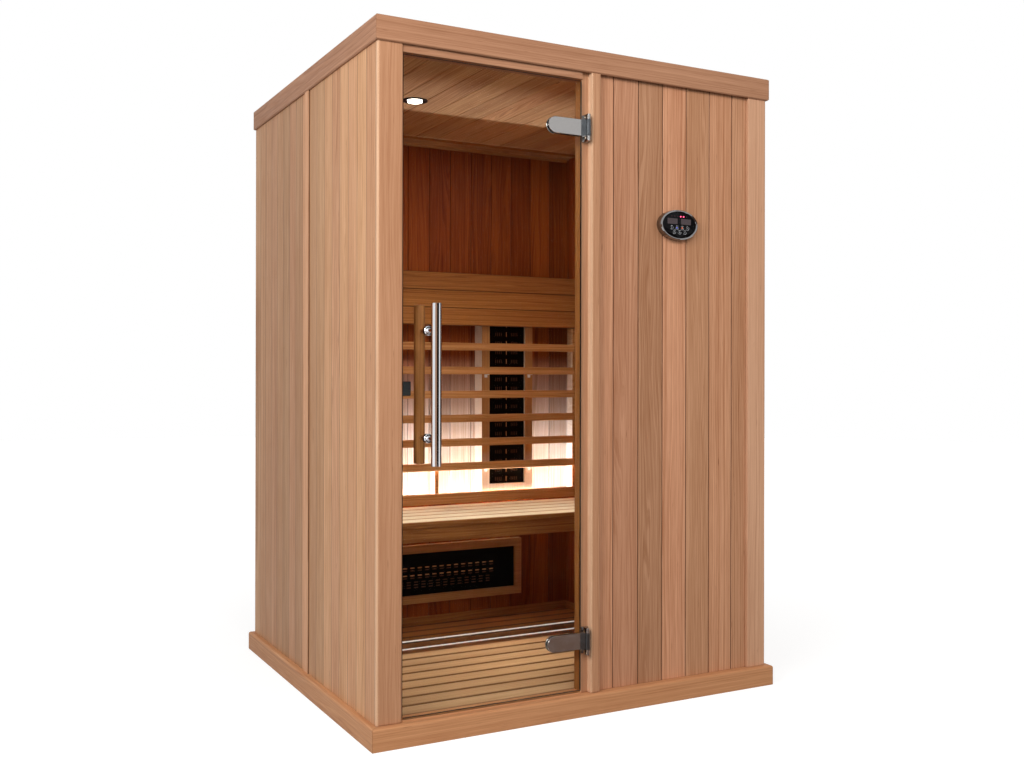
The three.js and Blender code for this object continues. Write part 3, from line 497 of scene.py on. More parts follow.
def rounded(half_u, half_v, radius, steps=6):
    """Outline of a rectangle with round corners."""
    points = []
    for quarter, (u, v) in enumerate(((1, 1), (-1, 1), (-1, -1), (1, -1))):
        for i in range(steps + 1):
            a = math.pi / 2 * (quarter + i / steps)
            corner = (u * (half_u - radius), v * (half_v - radius))
            points.append((corner[0] + radius * math.cos(a), corner[1] + radius * math.sin(a)))
    return points


def oval(half_u, half_v, steps=ROUND):
    """Outline of an ellipse."""
    turns = [2 * math.pi * i / steps for i in range(steps)]
    return [(half_u * math.cos(a), half_v * math.sin(a)) for a in turns]


def beaded_rod(radius, low, high, bead):
    """Profile of a round rod with beaded ends."""
    return [(0, low), (radius - bead, low), (radius, low + bead), (radius, high - bead),
            (radius - bead, high), (0, high)]


def facing_front(x, y, z):
    """A place whose axis points out of the cabin's front: plate u is to the right and v is up."""
    return Matrix.Translation((x, y, z)) @ Matrix.Rotation(math.pi / 2, 4, "X")


def facing_back(x, y, z):
    """A place whose axis points to the back of the cabin."""
    return Matrix.Translation((x, y, z)) @ Matrix.Rotation(-math.pi / 2, 4, "X")


def brick(mesh, low, high, bead, finish=0):
    """Adds a beaded block between two corners to a mesh."""
    low, high = Vector(low), Vector(high)
    half = (high - low) / 2
    middle = Matrix.Translation((low + high) / 2)
    slab(mesh, rounded(half.x, half.y, bead, 3), -half.z, half.z, middle, bead, finish)


def screw_head(mesh, place, diameter, finish=0):
    """Adds a low domed screw head with a cross recess to a mesh. Its axis is the place's own."""
    radius = diameter / 2
    profile = [(0, -0.2 * MM), (radius, -0.2 * MM), (radius, 0.3 * MM), (radius * 0.7, 1.0 * MM),
               (radius * 0.3, 1.2 * MM), (radius * 0.22, 0.7 * MM), (0, 0.6 * MM)]
    turned(mesh, profile, place, 24, finish=finish)


def add_lamp(name, kind, place, power, colour=WHITE, turn=(0, 0, 0), **settings):
    """Adds a lamp, which shines down unless it is turned."""
    data = bpy.data.lights.new(name, kind)
    data.energy = power
    data.color = colour[:3]
    for key, value in settings.items():
        setattr(data, key, value)
    lamp = bpy.data.objects.new(name, data)
    lamp.location = place
    lamp.rotation_euler = turn
    bpy.context.scene.collection.objects.link(lamp)
    return lamp


class SAUNA_OT_outside(bpy.types.Operator):
    """Finishes the walls, the front, the plinth and the fascia in planed wood"""

    bl_idname = "sauna.outside"
    bl_label = "Outside wood"

    def execute(self, context):
        sizes = context.scene.cabin_sizes
        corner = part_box("rear_wall")[1]
        # The inner side of a piece starts this far in from the cabin's outer corner.
        wall_skin, rail_skin, post_skin, rear_skin = 30 * MM, 44 * MM, 13 * MM, 40 * MM
        lined, browned = tones("lining"), tones("brown")

        # Side walls: red-brown boards of mixed tones outside, a darker lining inside
        # Boards are counted from the cover strip's edge, so a joint falls on the strip's side face and
        # paints it dark: painted shade on that face.
        strip_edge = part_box("left_wall_rear")[0].y
        side = planed_wood("hemlock_side_boards_planed", *tones("side"), "z", "y", sizes.side_board,
                           strip_edge, spread=0.25, streaks=0.9, figure=0.5, joint=1.3 * MM,
                           lining=Lining((corner.x - wall_skin, FAR), *lined))
        dress([f"{s}_wall_{e}" for s in SIDES for e in ("front", "rear")], side)

        # Front boards: wider boards with deeper joints
        first_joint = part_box("front_boards")[0].x + sizes.first_board
        front = planed_wood("hemlock_front_boards_planed", *tones("front"), "z", "x", sizes.board,
                            first_joint, spread=0.2, streaks=0.8, figure=0.45, joint=1.9 * MM,
                            lining=Lining((FAR, corner.y - wall_skin), *lined))
        dress(["front_boards"], front)

        # Stiles and jamb: plain wood of one tone, with softly rounded edges that catch the light. Faces and
        # edges of the stile and the jamb that look to the left are painted paler, a painted highlight for
        # the light from the left.
        behind_glass = Lining((FAR, corner.y - post_skin), *browned)
        post = planed_wood("hemlock_posts_planed", *tones("post"), "z", "x", spread=0.04, streaks=0.4,
                           figure=0.4, lining=behind_glass, ease=7 * MM, left_highlight=tones("edge"))
        dress(["front_left_stile", "door_jamb"], post)
        corner_post = planed_wood("hemlock_corner_planed", *tones("corner"), "z", "x", spread=0.04,
                                  streaks=0.4, figure=0.4, lining=behind_glass, ease=4 * MM)
        dress(["front_right_stile"], corner_post)

        # Rear wall: as the side walls, but painted pale inside behind the backrest, as the light strip's
        # glow
        wall_glow = StripGlow(start=487 * MM, foot=BACKREST_FOOT, fade=620 * MM, end=1050 * MM)
        rear = planed_wood("hemlock_rear_boards_planed", *tones("side"), "z", "x", sizes.board, 0.0,
                           spread=0.2, streaks=0.6, figure=0.8, strip_glows=[wall_glow],
                           lining=Lining((corner.x - rail_skin, corner.y - rear_skin), *lined))
        dress(["rear_wall"], rear)

        # Plinth and fascia: calm grain along each rail
        for rail, more in (("plinth", []), ("fascia", ["front_header"])):
            across = planed_wood(f"hemlock_{rail}_across_planed", *tones(rail), "x", "z", spread=0.05,
                                 streaks=0.5, figure=0.45,
                                 lining=Lining((FAR, corner.y - rail_skin), *browned))
            dress([f"{rail}_front", f"{rail}_rear", *more], across)
            deep = planed_wood(f"hemlock_{rail}_deep_planed", *tones(rail), "y", "z", spread=0.05,
                               streaks=0.5, figure=0.45,
                               lining=Lining((corner.x - rail_skin, FAR), *browned))
            dress([f"{rail}_left", f"{rail}_right"], deep)
        return {"FINISHED"}


class SAUNA_OT_inside(bpy.types.Operator):
    """Finishes the ceiling, the backrest, the heater frames, the bench and the floor in bare wood"""

    bl_idname = "sauna.inside"
    bl_label = "Inside wood"

    def execute(self, context):
        colours, sizes = context.scene.cabin_colours, context.scene.cabin_sizes

        # Ceiling: warm boards with a strong figure
        ceiling = planed_wood("cedar_ceiling_planed", *tones("ceiling"), "y", "x", sizes.board, 0.0,
                              spread=0.12, streaks=0.9, figure=0.8)
        dress(["roof_panel"], ceiling)

        # Base: brown boards with wide dark joints
        # The shade in a gap is finer than the render shows, so it is drawn onto the slats' edges too.
        seam_reach = 13 * MM
        base = planed_wood("cedar_base_boards_planed", *tones("brown"), "x", "y", sizes.floor_pitch,
                           spread=0.06, streaks=0.3, figure=0.5, joint=seam_reach)
        dress(["floor_panel"], base)

        # Backrest: golden slats, whose rear is painted pale near the light strip as its glow, under brown
        # planks
        slat_glow = StripGlow(start=476 * MM, foot=BACKREST_FOOT, fade=720 * MM, end=1150 * MM)
        slats = planed_wood("cedar_slats_planed", *tones("slat"), "x", "z", sizes.slat_pitch, spread=0.06,
                            streaks=0.3, figure=0.6, joint=0.0, strip_glows=[slat_glow])
        dress(["backrest_lattice"], slats)
        headrest_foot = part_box("headrest")[0].z
        headrest = planed_wood("cedar_headrest_planks_planed", *tones("brown"), "x", "z",
                               sizes.headrest_plank, headrest_foot, spread=0.1, streaks=0.3, figure=0.7,
                               joint=2.2 * MM)
        dress(["headrest"], headrest)

        # Heater frames: golden wood, painted pale where the light strip shines on the tall ones
        frame_glow = StripGlow(start=484 * MM, foot=BACKREST_FOOT, fade=620 * MM, end=1900 * MM)
        frame_foot_glow = StripGlow(start=480 * MM, foot=BACKREST_FOOT, fade=560 * MM, end=680 * MM)
        frames = planed_wood("cedar_frames_planed", *tones("slat"), "z", "x", spread=0.05, streaks=0.2,
                             figure=0.4, strip_glows=[frame_glow, frame_foot_glow])
        dress([f"back_heater_frame_{s}" for s in SIDES], frames)
        low_frame = planed_wood("cedar_low_frame_planed", *tones("slat"), "x", "z", spread=0.05,
                                streaks=0.2, figure=0.4)
        dress(["calf_heater_frame"], low_frame)

        # Bench: a brown board and dark cleats under a seat of nearly white slats
        board = planed_wood("cedar_bench_board_planed", *tones("brown"), "x", "z", spread=0.04,
                            streaks=0.3, figure=0.6)
        dress(["bench_front_board"], board)
        cleats = planed_wood("cedar_cleats_sawn", *tones("lining"), "y", "z", spread=0.05)
        dress([f"bench_cleat_{s}" for s in SIDES], cleats)
        seat_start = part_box("bench_seat")[0].y - 0.5 * sizes.seat_gap
        seat = planed_wood("aspen_seat_slats_planed", *tones("seat"), "x", "y", sizes.seat_pitch,
                           seat_start, spread=0.05, streaks=0.1, figure=0.4, joint=seam_reach,
                           seam=colours.seat_seam)
        dress(["bench_seat"], seat)

        # Slatted floor: pale slats with brown shade in the gaps
        floor_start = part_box("duckboard")[0].y + sizes.floor_front_board + 0.5 * sizes.floor_gap
        floor = planed_wood("aspen_floor_slats_planed", *tones("floor"), "x", "y", sizes.floor_pitch,
                            floor_start, spread=0.07, streaks=0.15, figure=0.5, joint=0.9 * seam_reach,
                            seam=colours.floor_seam)
        dress(["duckboard"], floor)
        return {"FINISHED"}


class SAUNA_OT_trims(bpy.types.Operator):
    """Adds the lath on the bench and the lath and cove moulding under the ceiling"""

    bl_idname = "sauna.trims"
    bl_label = "Trims"

    def execute(self, context):
        sizes = context.scene.cabin_sizes
        # Brown wood with a quiet grain, as on the bench's front
        wood = planed_wood("cedar_trims_planed", *tones("brown"), "x", "z", spread=0.05, streaks=0.2,
                           figure=0.6)
        seat_low, seat_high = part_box("bench_seat")
        lath_low = (seat_low.x, seat_low.y - sizes.bench_lath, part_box("bench_front_board")[1].z)
        lath_high = (seat_high.x, seat_low.y, seat_high.z - 1 * MM)
        mesh = bmesh.new()
        brick(mesh, lath_low, lath_high, 0.4 * sizes.bench_lath)
        add_piece("bench_front_lath", mesh, "cabin", [wood])

        floor_low, floor_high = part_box("floor_panel")
        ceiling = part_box("roof_panel")[0].z - SEAT_GAP
        rear, cove, steps = floor_high.y, sizes.cove, 6
        lath_foot = ceiling - sizes.lath_thickness
        mesh = bmesh.new()
        lath_low = (floor_low.x, rear - sizes.lath_depth, lath_foot)
        brick(mesh, lath_low, (floor_high.x, rear, ceiling), sizes.edge)
        turns = [math.pi / 2 * i / steps for i in range(steps + 1)]
        arc = [(rear - cove * (1 - math.sin(a)), lath_foot - cove * (1 - math.cos(a))) for a in turns]
        along_x = Matrix(((0, 0, 1, 0), (1, 0, 0, 0), (0, 1, 0, 0), (0, 0, 0, 1)))
        slab(mesh, [(rear, lath_foot)] + arc, floor_low.x, floor_high.x, along_x)
        add_piece("ceiling_cove", mesh, "cabin", [wood])
        return {"FINISHED"}


class SAUNA_OT_door(bpy.types.Operator):
    """Finishes the glass and adds the door's hinges, handle and catch"""

    bl_idname = "sauna.door"
    bl_label = "Door"

    def execute(self, context):
        colours = context.scene.cabin_colours
        dress(["door_glass"], clear_glass(*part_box("door_glass")))
        # Chrome is nearly a mirror. Satin nickel blurs what it reflects. The knuckles and cranks take a
        # darker copy of it, painted shade for the dark part of the room they reflect.
        chrome = bright_metal("steel_chromed_polished", colours.chrome, 0.04, 0.09)
        nickel = bright_metal("steel_nickel_satin", colours.nickel, 0.16, 0.24)
        knuckle = bright_metal("steel_nickel_satin_deep", colours.knuckle, 0.2, 0.3)
        self.add_handle(context, chrome)
        for level in LEVELS:
            self.add_hinge(context, level, nickel, knuckle)
        self.add_catch(context, chrome)
        return {"FINISHED"}

    def add_handle(self, context, chrome):
        """A polished tube outside, a wooden bar inside and two posts with collars through the glass."""
        bead = 2 * context.scene.cabin_sizes.bead
        # The bar is brown and smooth, with its grain upright.
        wood = planed_wood("cedar_handle_turned", *tones("brown"), "z", "x", spread=0.05, streaks=0.2,
                           figure=0.5)
        bars = {"handle_tube": ("bright_metal", chrome), "handle_bar_inner": ("inside_wood", wood)}
        for node, (slot, material) in bars.items():
            low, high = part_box(node)
            radius, tall = (high.x - low.x) / 2, high.z - low.z
            profile = [(0, 0), (radius - 2 * bead, 0), (radius - bead, 0.3 * bead), (radius, bead),
                       (radius, tall - bead), (radius - bead, tall - 0.3 * bead),
                       (radius - 2 * bead, tall), (0, tall)]
            place = Matrix.Translation(((low.x + high.x) / 2, (low.y + high.y) / 2, low.z))
            mesh = bmesh.new()
            turned(mesh, profile, place)
            add_piece(f"{node}_turned", mesh, "door", [material], [node])

        glass_low, glass_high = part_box("door_glass")
        front, back = glass_low.y - SEAT_GAP, glass_high.y + SEAT_GAP
        rod, neck, deep = 6 * MM, 5 * MM, 4 * MM
        for level in LEVELS:
            node = f"handle_post_{level}"
            low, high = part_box(node)
            collar = (high.x - low.x) / 2
            outer = [(0, low.y), (rod, low.y), (rod, front - deep - bead), (rod + bead, front - deep),
                     (collar - bead, front - deep), (collar, front - deep + bead), (collar, front),
                     (neck, front)]
            inner = [(neck, back), (collar, back), (collar, back + deep - bead),
                     (collar - bead, back + deep), (rod + bead, back + deep), (rod, back + deep + bead),
                     (rod, high.y), (0, high.y)]
            mesh = bmesh.new()
            turned(mesh, outer + inner, facing_back((low.x + high.x) / 2, 0, (low.z + high.z) / 2), 40)
            add_piece(f"{node}_turned", mesh, "door", [chrome], [node])

    def add_hinge(self, context, level, nickel, deep):
        """A strap and a clamp plate on the glass, and a bracket with two barrels on the jamb."""
        sizes = context.scene.cabin_sizes
        bead, thick, boss = sizes.bead, sizes.hinge_strap, sizes.hinge_boss / 2
        pin_low, pin_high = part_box(f"hinge_pin_{level}")
        axis = (pin_low + pin_high) / 2
        strap_low, strap_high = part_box(f"hinge_strap_{level}")
        clamp_low, clamp_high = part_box(f"hinge_clamp_{level}")
        glass_low, glass_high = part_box("door_glass")
        half = (strap_high.z - strap_low.z) / 2
        flat = facing_front(0, 0, axis.z)

        def plate(left, right):
            """Outline of a plate with a round left end."""
            steps = 20
            turns = [math.pi * i / steps for i in range(steps + 1)]
            arc = [(left + half - half * math.sin(a), half * math.cos(a)) for a in turns]
            return [(right, -half), (right, half)] + arc

        # Strap: a plate in front of the glass, cranked to a knuckle on the pin
        mesh = bmesh.new()
        back, right = glass_low.y - SEAT_GAP, clamp_high.x
        slab(mesh, plate(strap_low.x, right), -back, -back + thick, flat, bead)
        middle = Vector((right - thick / 2, back - thick / 2))
        centre = Vector((axis.x, axis.y))
        side = (centre - middle).orthogonal().normalized() * thick / 2
        crank = [middle + side, middle - side, centre - side, centre + side]
        # The crank and the knuckle take the darker nickel, painted shade for the dark part of the room they
        # reflect.
        slab(mesh, crank, -half, half, Matrix.Translation((0, 0, axis.z)), finish=1)
        knuckle = beaded_rod(strap_high.x - axis.x, -half, half, bead)
        turned(mesh, knuckle, Matrix.Translation(axis), 40, finish=1)
        add_piece(f"hinge_strap_{level}_satin", mesh, "door", [nickel, deep],
                  [f"hinge_strap_{level}"])

        # Clamp: a plate behind the glass with two screws, whose bosses pass through the glass
        mesh = bmesh.new()
        front = glass_high.y + SEAT_GAP
        slab(mesh, plate(clamp_low.x, clamp_high.x), -clamp_high.y, -front, flat, bead)
        through = front - glass_low.y
        first_boss = clamp_low.x + half
        for x in (first_boss, first_boss + sizes.hinge_boss_pitch):
            screw_head(mesh, facing_back(x, clamp_high.y, axis.z), sizes.screw * 1.4)
            rod = [(0, 0), (boss, 0), (boss, through), (0, through)]
            turned(mesh, rod, facing_back(x, glass_low.y, axis.z), 32)
        add_piece(f"hinge_clamp_{level}_satin", mesh, "door", [nickel],
                  [f"hinge_clamp_{level}"])

        # Bracket: a leaf on the jamb with a barrel above and below the knuckle
        mesh = bmesh.new()
        low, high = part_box(f"hinge_bracket_{level}")
        tall = (high.z - low.z) / 2
        leaf_front = high.y - sizes.hinge_leaf
        leaf = rounded((high.x - low.x) / 2, tall, 2 * MM)
        slab(mesh, leaf, -high.y, -leaf_front, facing_front((low.x + high.x) / 2, 0, axis.z), bead)
        web, sunk = 4 * MM, 1 * MM
        gap = half + SEAT_GAP
        run = tall - gap
        barrel = beaded_rod(axis.y - low.y, 0, run, bead)
        for base in (axis.z + gap, axis.z - tall):
            brick(mesh, (axis.x - web, axis.y, base), (axis.x + web, leaf_front + sunk, base + run), bead)
            turned(mesh, barrel, Matrix.Translation((axis.x, axis.y, base)), 32)
        add_piece(f"hinge_bracket_{level}_satin", mesh, "cabin", [nickel],
                  [f"hinge_bracket_{level}", f"hinge_pin_{level}"])

    def add_catch(self, context, chrome):
        """A small black block with two screws on the left stile."""
        colours, sizes = context.scene.cabin_colours, context.scene.cabin_sizes
        # Black plastic with a dull, even sheen
        plastic = moulded("abs_catch_moulded", colours.black, 0.35, 0.5, 1.2 * MM)
        low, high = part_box("door_catch")
        screw_inset = 8 * MM
        mesh = bmesh.new()
        brick(mesh, low, high, sizes.edge)
        to_the_right = Matrix.Rotation(math.pi / 2, 4, "Y")
        for z in (low.z + screw_inset, high.z - screw_inset):
            place = Matrix.Translation((high.x, (low.y + high.y) / 2, z)) @ to_the_right
            screw_head(mesh, place, sizes.screw * 0.8, 1)
        add_piece("door_catch_moulded", mesh, "cabin", [plastic, chrome], ["door_catch"])


class SAUNA_OT_key_panel(bpy.types.Operator):
    """Builds the oval key panel: bezel, face, displays, signal lamps and keys"""

    bl_idname = "sauna.key_panel"
    bl_label = "Key panel"

    def execute(self, context):
        colours = context.scene.cabin_colours
        chrome = bpy.data.materials["steel_chromed_polished"]
        # The bezel mirrors the room in grey, round a face that is black and a little glossy.
        bezel = bright_metal("steel_bezel_polished", colours.bezel, 0.05, 0.1)
        gloss = moulded("abs_key_panel_glossy", colours.black, 0.18, 0.26, 3 * MM, 0.08)
        self.add_bezel(bezel)
        self.add_face(colours, gloss)
        # Grey signs are matt, and the two lenses glow softly.
        print_grey = moulded("key_print_grey", colours.print_grey, 0.5, 0.6, 2 * MM)
        lenses = {
            KEYS[1]: glowing("key_lens_blue", colours.lens_blue, 0.35),
            KEYS[2]: glowing("key_lens_red", colours.lens_red, 0.55),
        }
        for key in KEYS:
            self.add_key(key, [gloss, chrome, lenses.get(key, print_grey)])
        return {"FINISHED"}

    def add_bezel(self, bezel):
        """A rounded oval ring with a closed back."""
        low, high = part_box("control_bezel")
        centre = (low + high) / 2
        half_u, half_v, deep = (high.x - low.x) / 2, (high.z - low.z) / 2, high.y - low.y
        face_low, face_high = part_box("control_face")
        inner = (face_high.x - face_low.x) / 2 + SEAT_GAP
        crest, floor = (inner + half_u) / 2, 0.4 * deep
        profile = [(0, 0), (half_u, 0), (half_u, 0.5 * deep), (half_u - 0.4 * MM, 0.75 * deep),
                   (half_u - 1.6 * MM, 0.92 * deep), (crest, deep), (inner + 1.2 * MM, deep - 0.5 * MM),
                   (inner, deep - 1.6 * MM), (inner, floor), (0, floor)]
        mesh = bmesh.new()
        turned(mesh, profile, facing_front(centre.x, high.y, centre.z), 96, half_v / half_u)
        add_piece("control_bezel_polished", mesh, "cabin", [bezel], ["control_bezel"])

    def add_face(self, colours, gloss):
        """The face plate with its displays and signal lamps."""
        # Smoky windows with darker figures behind them, and lamps that are dark red or shine in pink
        screen = moulded("display_window_tinted", colours.screen, 0.2, 0.3, 3 * MM, 0.2)
        segment = moulded("display_segments_unlit", colours.segment, 0.4, 0.5, 2 * MM)
        dull = moulded("signal_lamp_unlit", colours.led_off, 0.2, 0.3, 1 * MM)
        lit = glowing("signal_lamp_lit", colours.led, 4.0)
        low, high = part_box("control_bezel")
        centre = (low + high) / 2
        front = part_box("control_face")[0].y
        mesh = bmesh.new()
        # The plate is the CAD's own, with a well for each key to sink into.
        mesh.from_mesh(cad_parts["control_face"].data)
        bmesh.ops.remove_doubles(mesh, verts=mesh.verts, dist=WELD)
        window_places, window_rise = (-25.5 * MM, 24 * MM), 10 * MM
        for offset in window_places:
            self.add_display(mesh, facing_front(centre.x + offset, front, centre.z + window_rise))
        sunk = 0.2 * MM
        dome = [(0, -sunk), (1.9 * MM, -sunk), (1.7 * MM, 0.5 * MM), (0.9 * MM, 0.9 * MM), (0, 1 * MM)]
        lamp_count, lamp_middle, lit_lamps, lamp_pitch, lamp_rise = 6, 2.6, (3, 4), 10.9 * MM, 25 * MM
        for i in range(lamp_count):
            place = facing_front(centre.x + (i - lamp_middle) * lamp_pitch, front, centre.z + lamp_rise)
            turned(mesh, dome, place, 20, finish=LAMP_LIT if i in lit_lamps else LAMP_OFF)
        dot = [(0, -sunk), (1.1 * MM, -sunk), (0.8 * MM, 0.4 * MM), (0, 0.5 * MM)]
        dot_rises = (16.5 * MM, 7.5 * MM)
        for rise in dot_rises:
            turned(mesh, dot, facing_front(centre.x, front, centre.z + rise), 16, finish=LAMP_OFF)
        add_piece("control_face_glossy", mesh, "cabin",
                  [gloss, screen, segment, dull, lit], ["control_face"])

    def add_display(self, mesh, place):
        """A tinted window with three unlit figures of seven bars."""
        half_u, half_v, pitch = 18.2 * MM, 8.3 * MM, 11 * MM
        tall, wide, bar = 5.2 * MM, 3.4 * MM, 0.75 * MM
        slab(mesh, rounded(half_u, half_v, 1 * MM, 3), -0.2 * MM, 0.3 * MM, place, 0.1 * MM, WINDOW)
        bars = [(0, v * tall, wide - bar, bar) for v in (-1, 0, 1)]
        bars += [(u * wide, v * tall / 2, bar, tall / 2 - bar) for u in (-1, 1) for v in (-1, 1)]
        corners = ((-1, -1), (1, -1), (1, 1), (-1, 1))
        for digit in (-1, 0, 1):
            for u, v, half_w, half_h in bars:
                middle = digit * pitch + u
                shape = [(middle + a * half_w, v + b * half_h) for a, b in corners]
                slab(mesh, shape, 0.2 * MM, 0.4 * MM, place, 0.0, FIGURE)

    def add_key(self, key, materials):
        """A round key with a bright rim and a plain sign in its dished face."""
        low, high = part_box(key)
        radius, deep = (high.x - low.x) / 2, high.y - low.y
        place = facing_front((low.x + high.x) / 2, high.y, (low.z + high.z) / 2)
        rim_outer, rim_inner = (radius - 0.5 * MM, deep), (radius - 1.1 * MM, deep - 0.1 * MM)
        mesh = bmesh.new()
        turned(mesh, [(0, 0), (radius, 0), (radius, deep - 0.6 * MM), rim_outer], place, 40)
        turned(mesh, [rim_outer, rim_inner], place, 40, finish=1)
        turned(mesh, [rim_inner, (radius - 1.6 * MM, deep - 0.5 * MM), (0, deep - 0.7 * MM)], place, 40)
        bmesh.ops.remove_doubles(mesh, verts=mesh.verts, dist=WELD)
        for stroke in SIGNS[key]:
            half_w, half_h = stroke.half_width * MM, stroke.half_height * MM
            outline = rounded(half_w, half_h, min(half_w, half_h))
            shape = [(stroke.across * MM + u, stroke.up * MM + v) for u, v in outline]
            slab(mesh, shape, deep - 0.8 * MM, deep - 0.2 * MM, place, 0.0, 2)
        add_piece(f"{key}_domed", mesh, key, materials, [key])


class SAUNA_OT_heaters(bpy.types.Operator):
    """Finishes the heater plates and adds their slots and the clips that hold the backrest"""

    bl_idname = "sauna.heaters"
    bl_label = "Heaters"

    def execute(self, context):
        colours = context.scene.cabin_colours
        # Baked paint is a flat black. The emitter shows bronze in the slots, or nearly dark.
        plate = moulded("steel_heater_plate_baked_black", colours.heater, 0.4, 0.6, 4 * MM, 0.1)
        dress(["calf_heater_panel"] + [f"back_heater_panel_{s}" for s in SIDES], plate)
        bright = moulded("heater_slot_bronze", colours.bronze, 0.35, 0.5, 5 * MM)
        dim = moulded("heater_slot_dim", colours.ember, 0.5, 0.65, 5 * MM)
        # Zinc is a dull, pale grey.
        clip = moulded("steel_clip_zinc", colours.zinc, 0.3, 0.4, 2 * MM)
        self.add_calf_slots(context, [bright, dim])
        for side in SIDES:
            self.add_back_slots(side, [bright, dim])
            self.add_clips(context, side, clip)
        return {"FINISHED"}

    def add_calf_slots(self, context, finishes):
        """Two rows of bright slots with a dim row under each, and three dim rows that are set off."""
        sizes = context.scene.cabin_sizes
        low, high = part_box("calf_heater_panel")
        bright, dim = range(2)
        per_row, pitch, row_step, proud = 18, 30 * MM, 10 * MM, 0.4 * MM
        bright_drops, set_off_drop, set_off_rows = (54 * MM, 82 * MM), 107 * MM, 3
        rows = []
        for drop in bright_drops:
            rows += [(drop, per_row, bright), (drop + row_step, per_row, dim)]
        rows += [(set_off_drop + i * row_step, per_row - 1, dim) for i in range(set_off_rows)]
        outline = rounded(sizes.slot_long / 2, sizes.slot_short / 2, 1 * MM, 2)
        mesh = bmesh.new()
        for drop, count, finish in rows:
            for i in range(count):
                x = (i - (count - 1) / 2) * pitch
                slab(mesh, outline, 0, proud, facing_front(x, low.y, high.z - drop), 0.0, finish)
        add_piece("calf_heater_slots", mesh, "cabin", finishes)

    def add_back_slots(self, side, finishes):
        """Upright slots: a bright column in the middle and four dim columns on each side of it."""
        low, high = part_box(f"back_heater_panel_{side}")
        middle, tall = (low.x + high.x) / 2, high.z - low.z
        bright, dim = range(2)
        rows, per_side, first_column, column_step = 20, 4, 22 * MM, 8 * MM
        half_width, half_dim, half_bright, proud = 1.3 * MM, 7 * MM, 9 * MM, 0.4 * MM
        beside = [first_column + i * column_step for i in range(per_side)]
        mesh = bmesh.new()
        for column in sorted([0.0] + beside + [-x for x in beside]):
            outline = rounded(half_width, half_dim if column else half_bright, 1 * MM, 2)
            for row in range(rows):
                place = facing_front(middle + column, low.y, low.z + (row + 0.5) * tall / rows)
                slab(mesh, outline, 0, proud, place, 0.0, dim if column else bright)
        add_piece(f"back_heater_slots_{side}", mesh, "cabin", finishes)

    def add_clips(self, context, side, clip):
        """Small angle clips between a heater frame and two of the backrest's slats."""
        sizes = context.scene.cabin_sizes
        low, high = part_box(f"back_heater_frame_{side}")
        inset, half, sheet, leg, bead = 16 * MM, 6 * MM, 2 * MM, 12 * MM, 0.5 * MM
        clip_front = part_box("headrest")[0].y + 8 * MM
        clipped_slats = (0, 4)
        mesh = bmesh.new()
        for x in (low.x + inset, high.x - inset):
            for slat in clipped_slats:
                top = sizes.slat_foot + slat * sizes.slat_pitch
                corner = (x + half, low.y, top)
                brick(mesh, (x - half, clip_front, top - sheet), corner, bead)
                brick(mesh, (x - half, low.y - sheet, top - leg), corner, bead)
        add_piece(f"backrest_clips_{side}", mesh, "cabin", [clip])


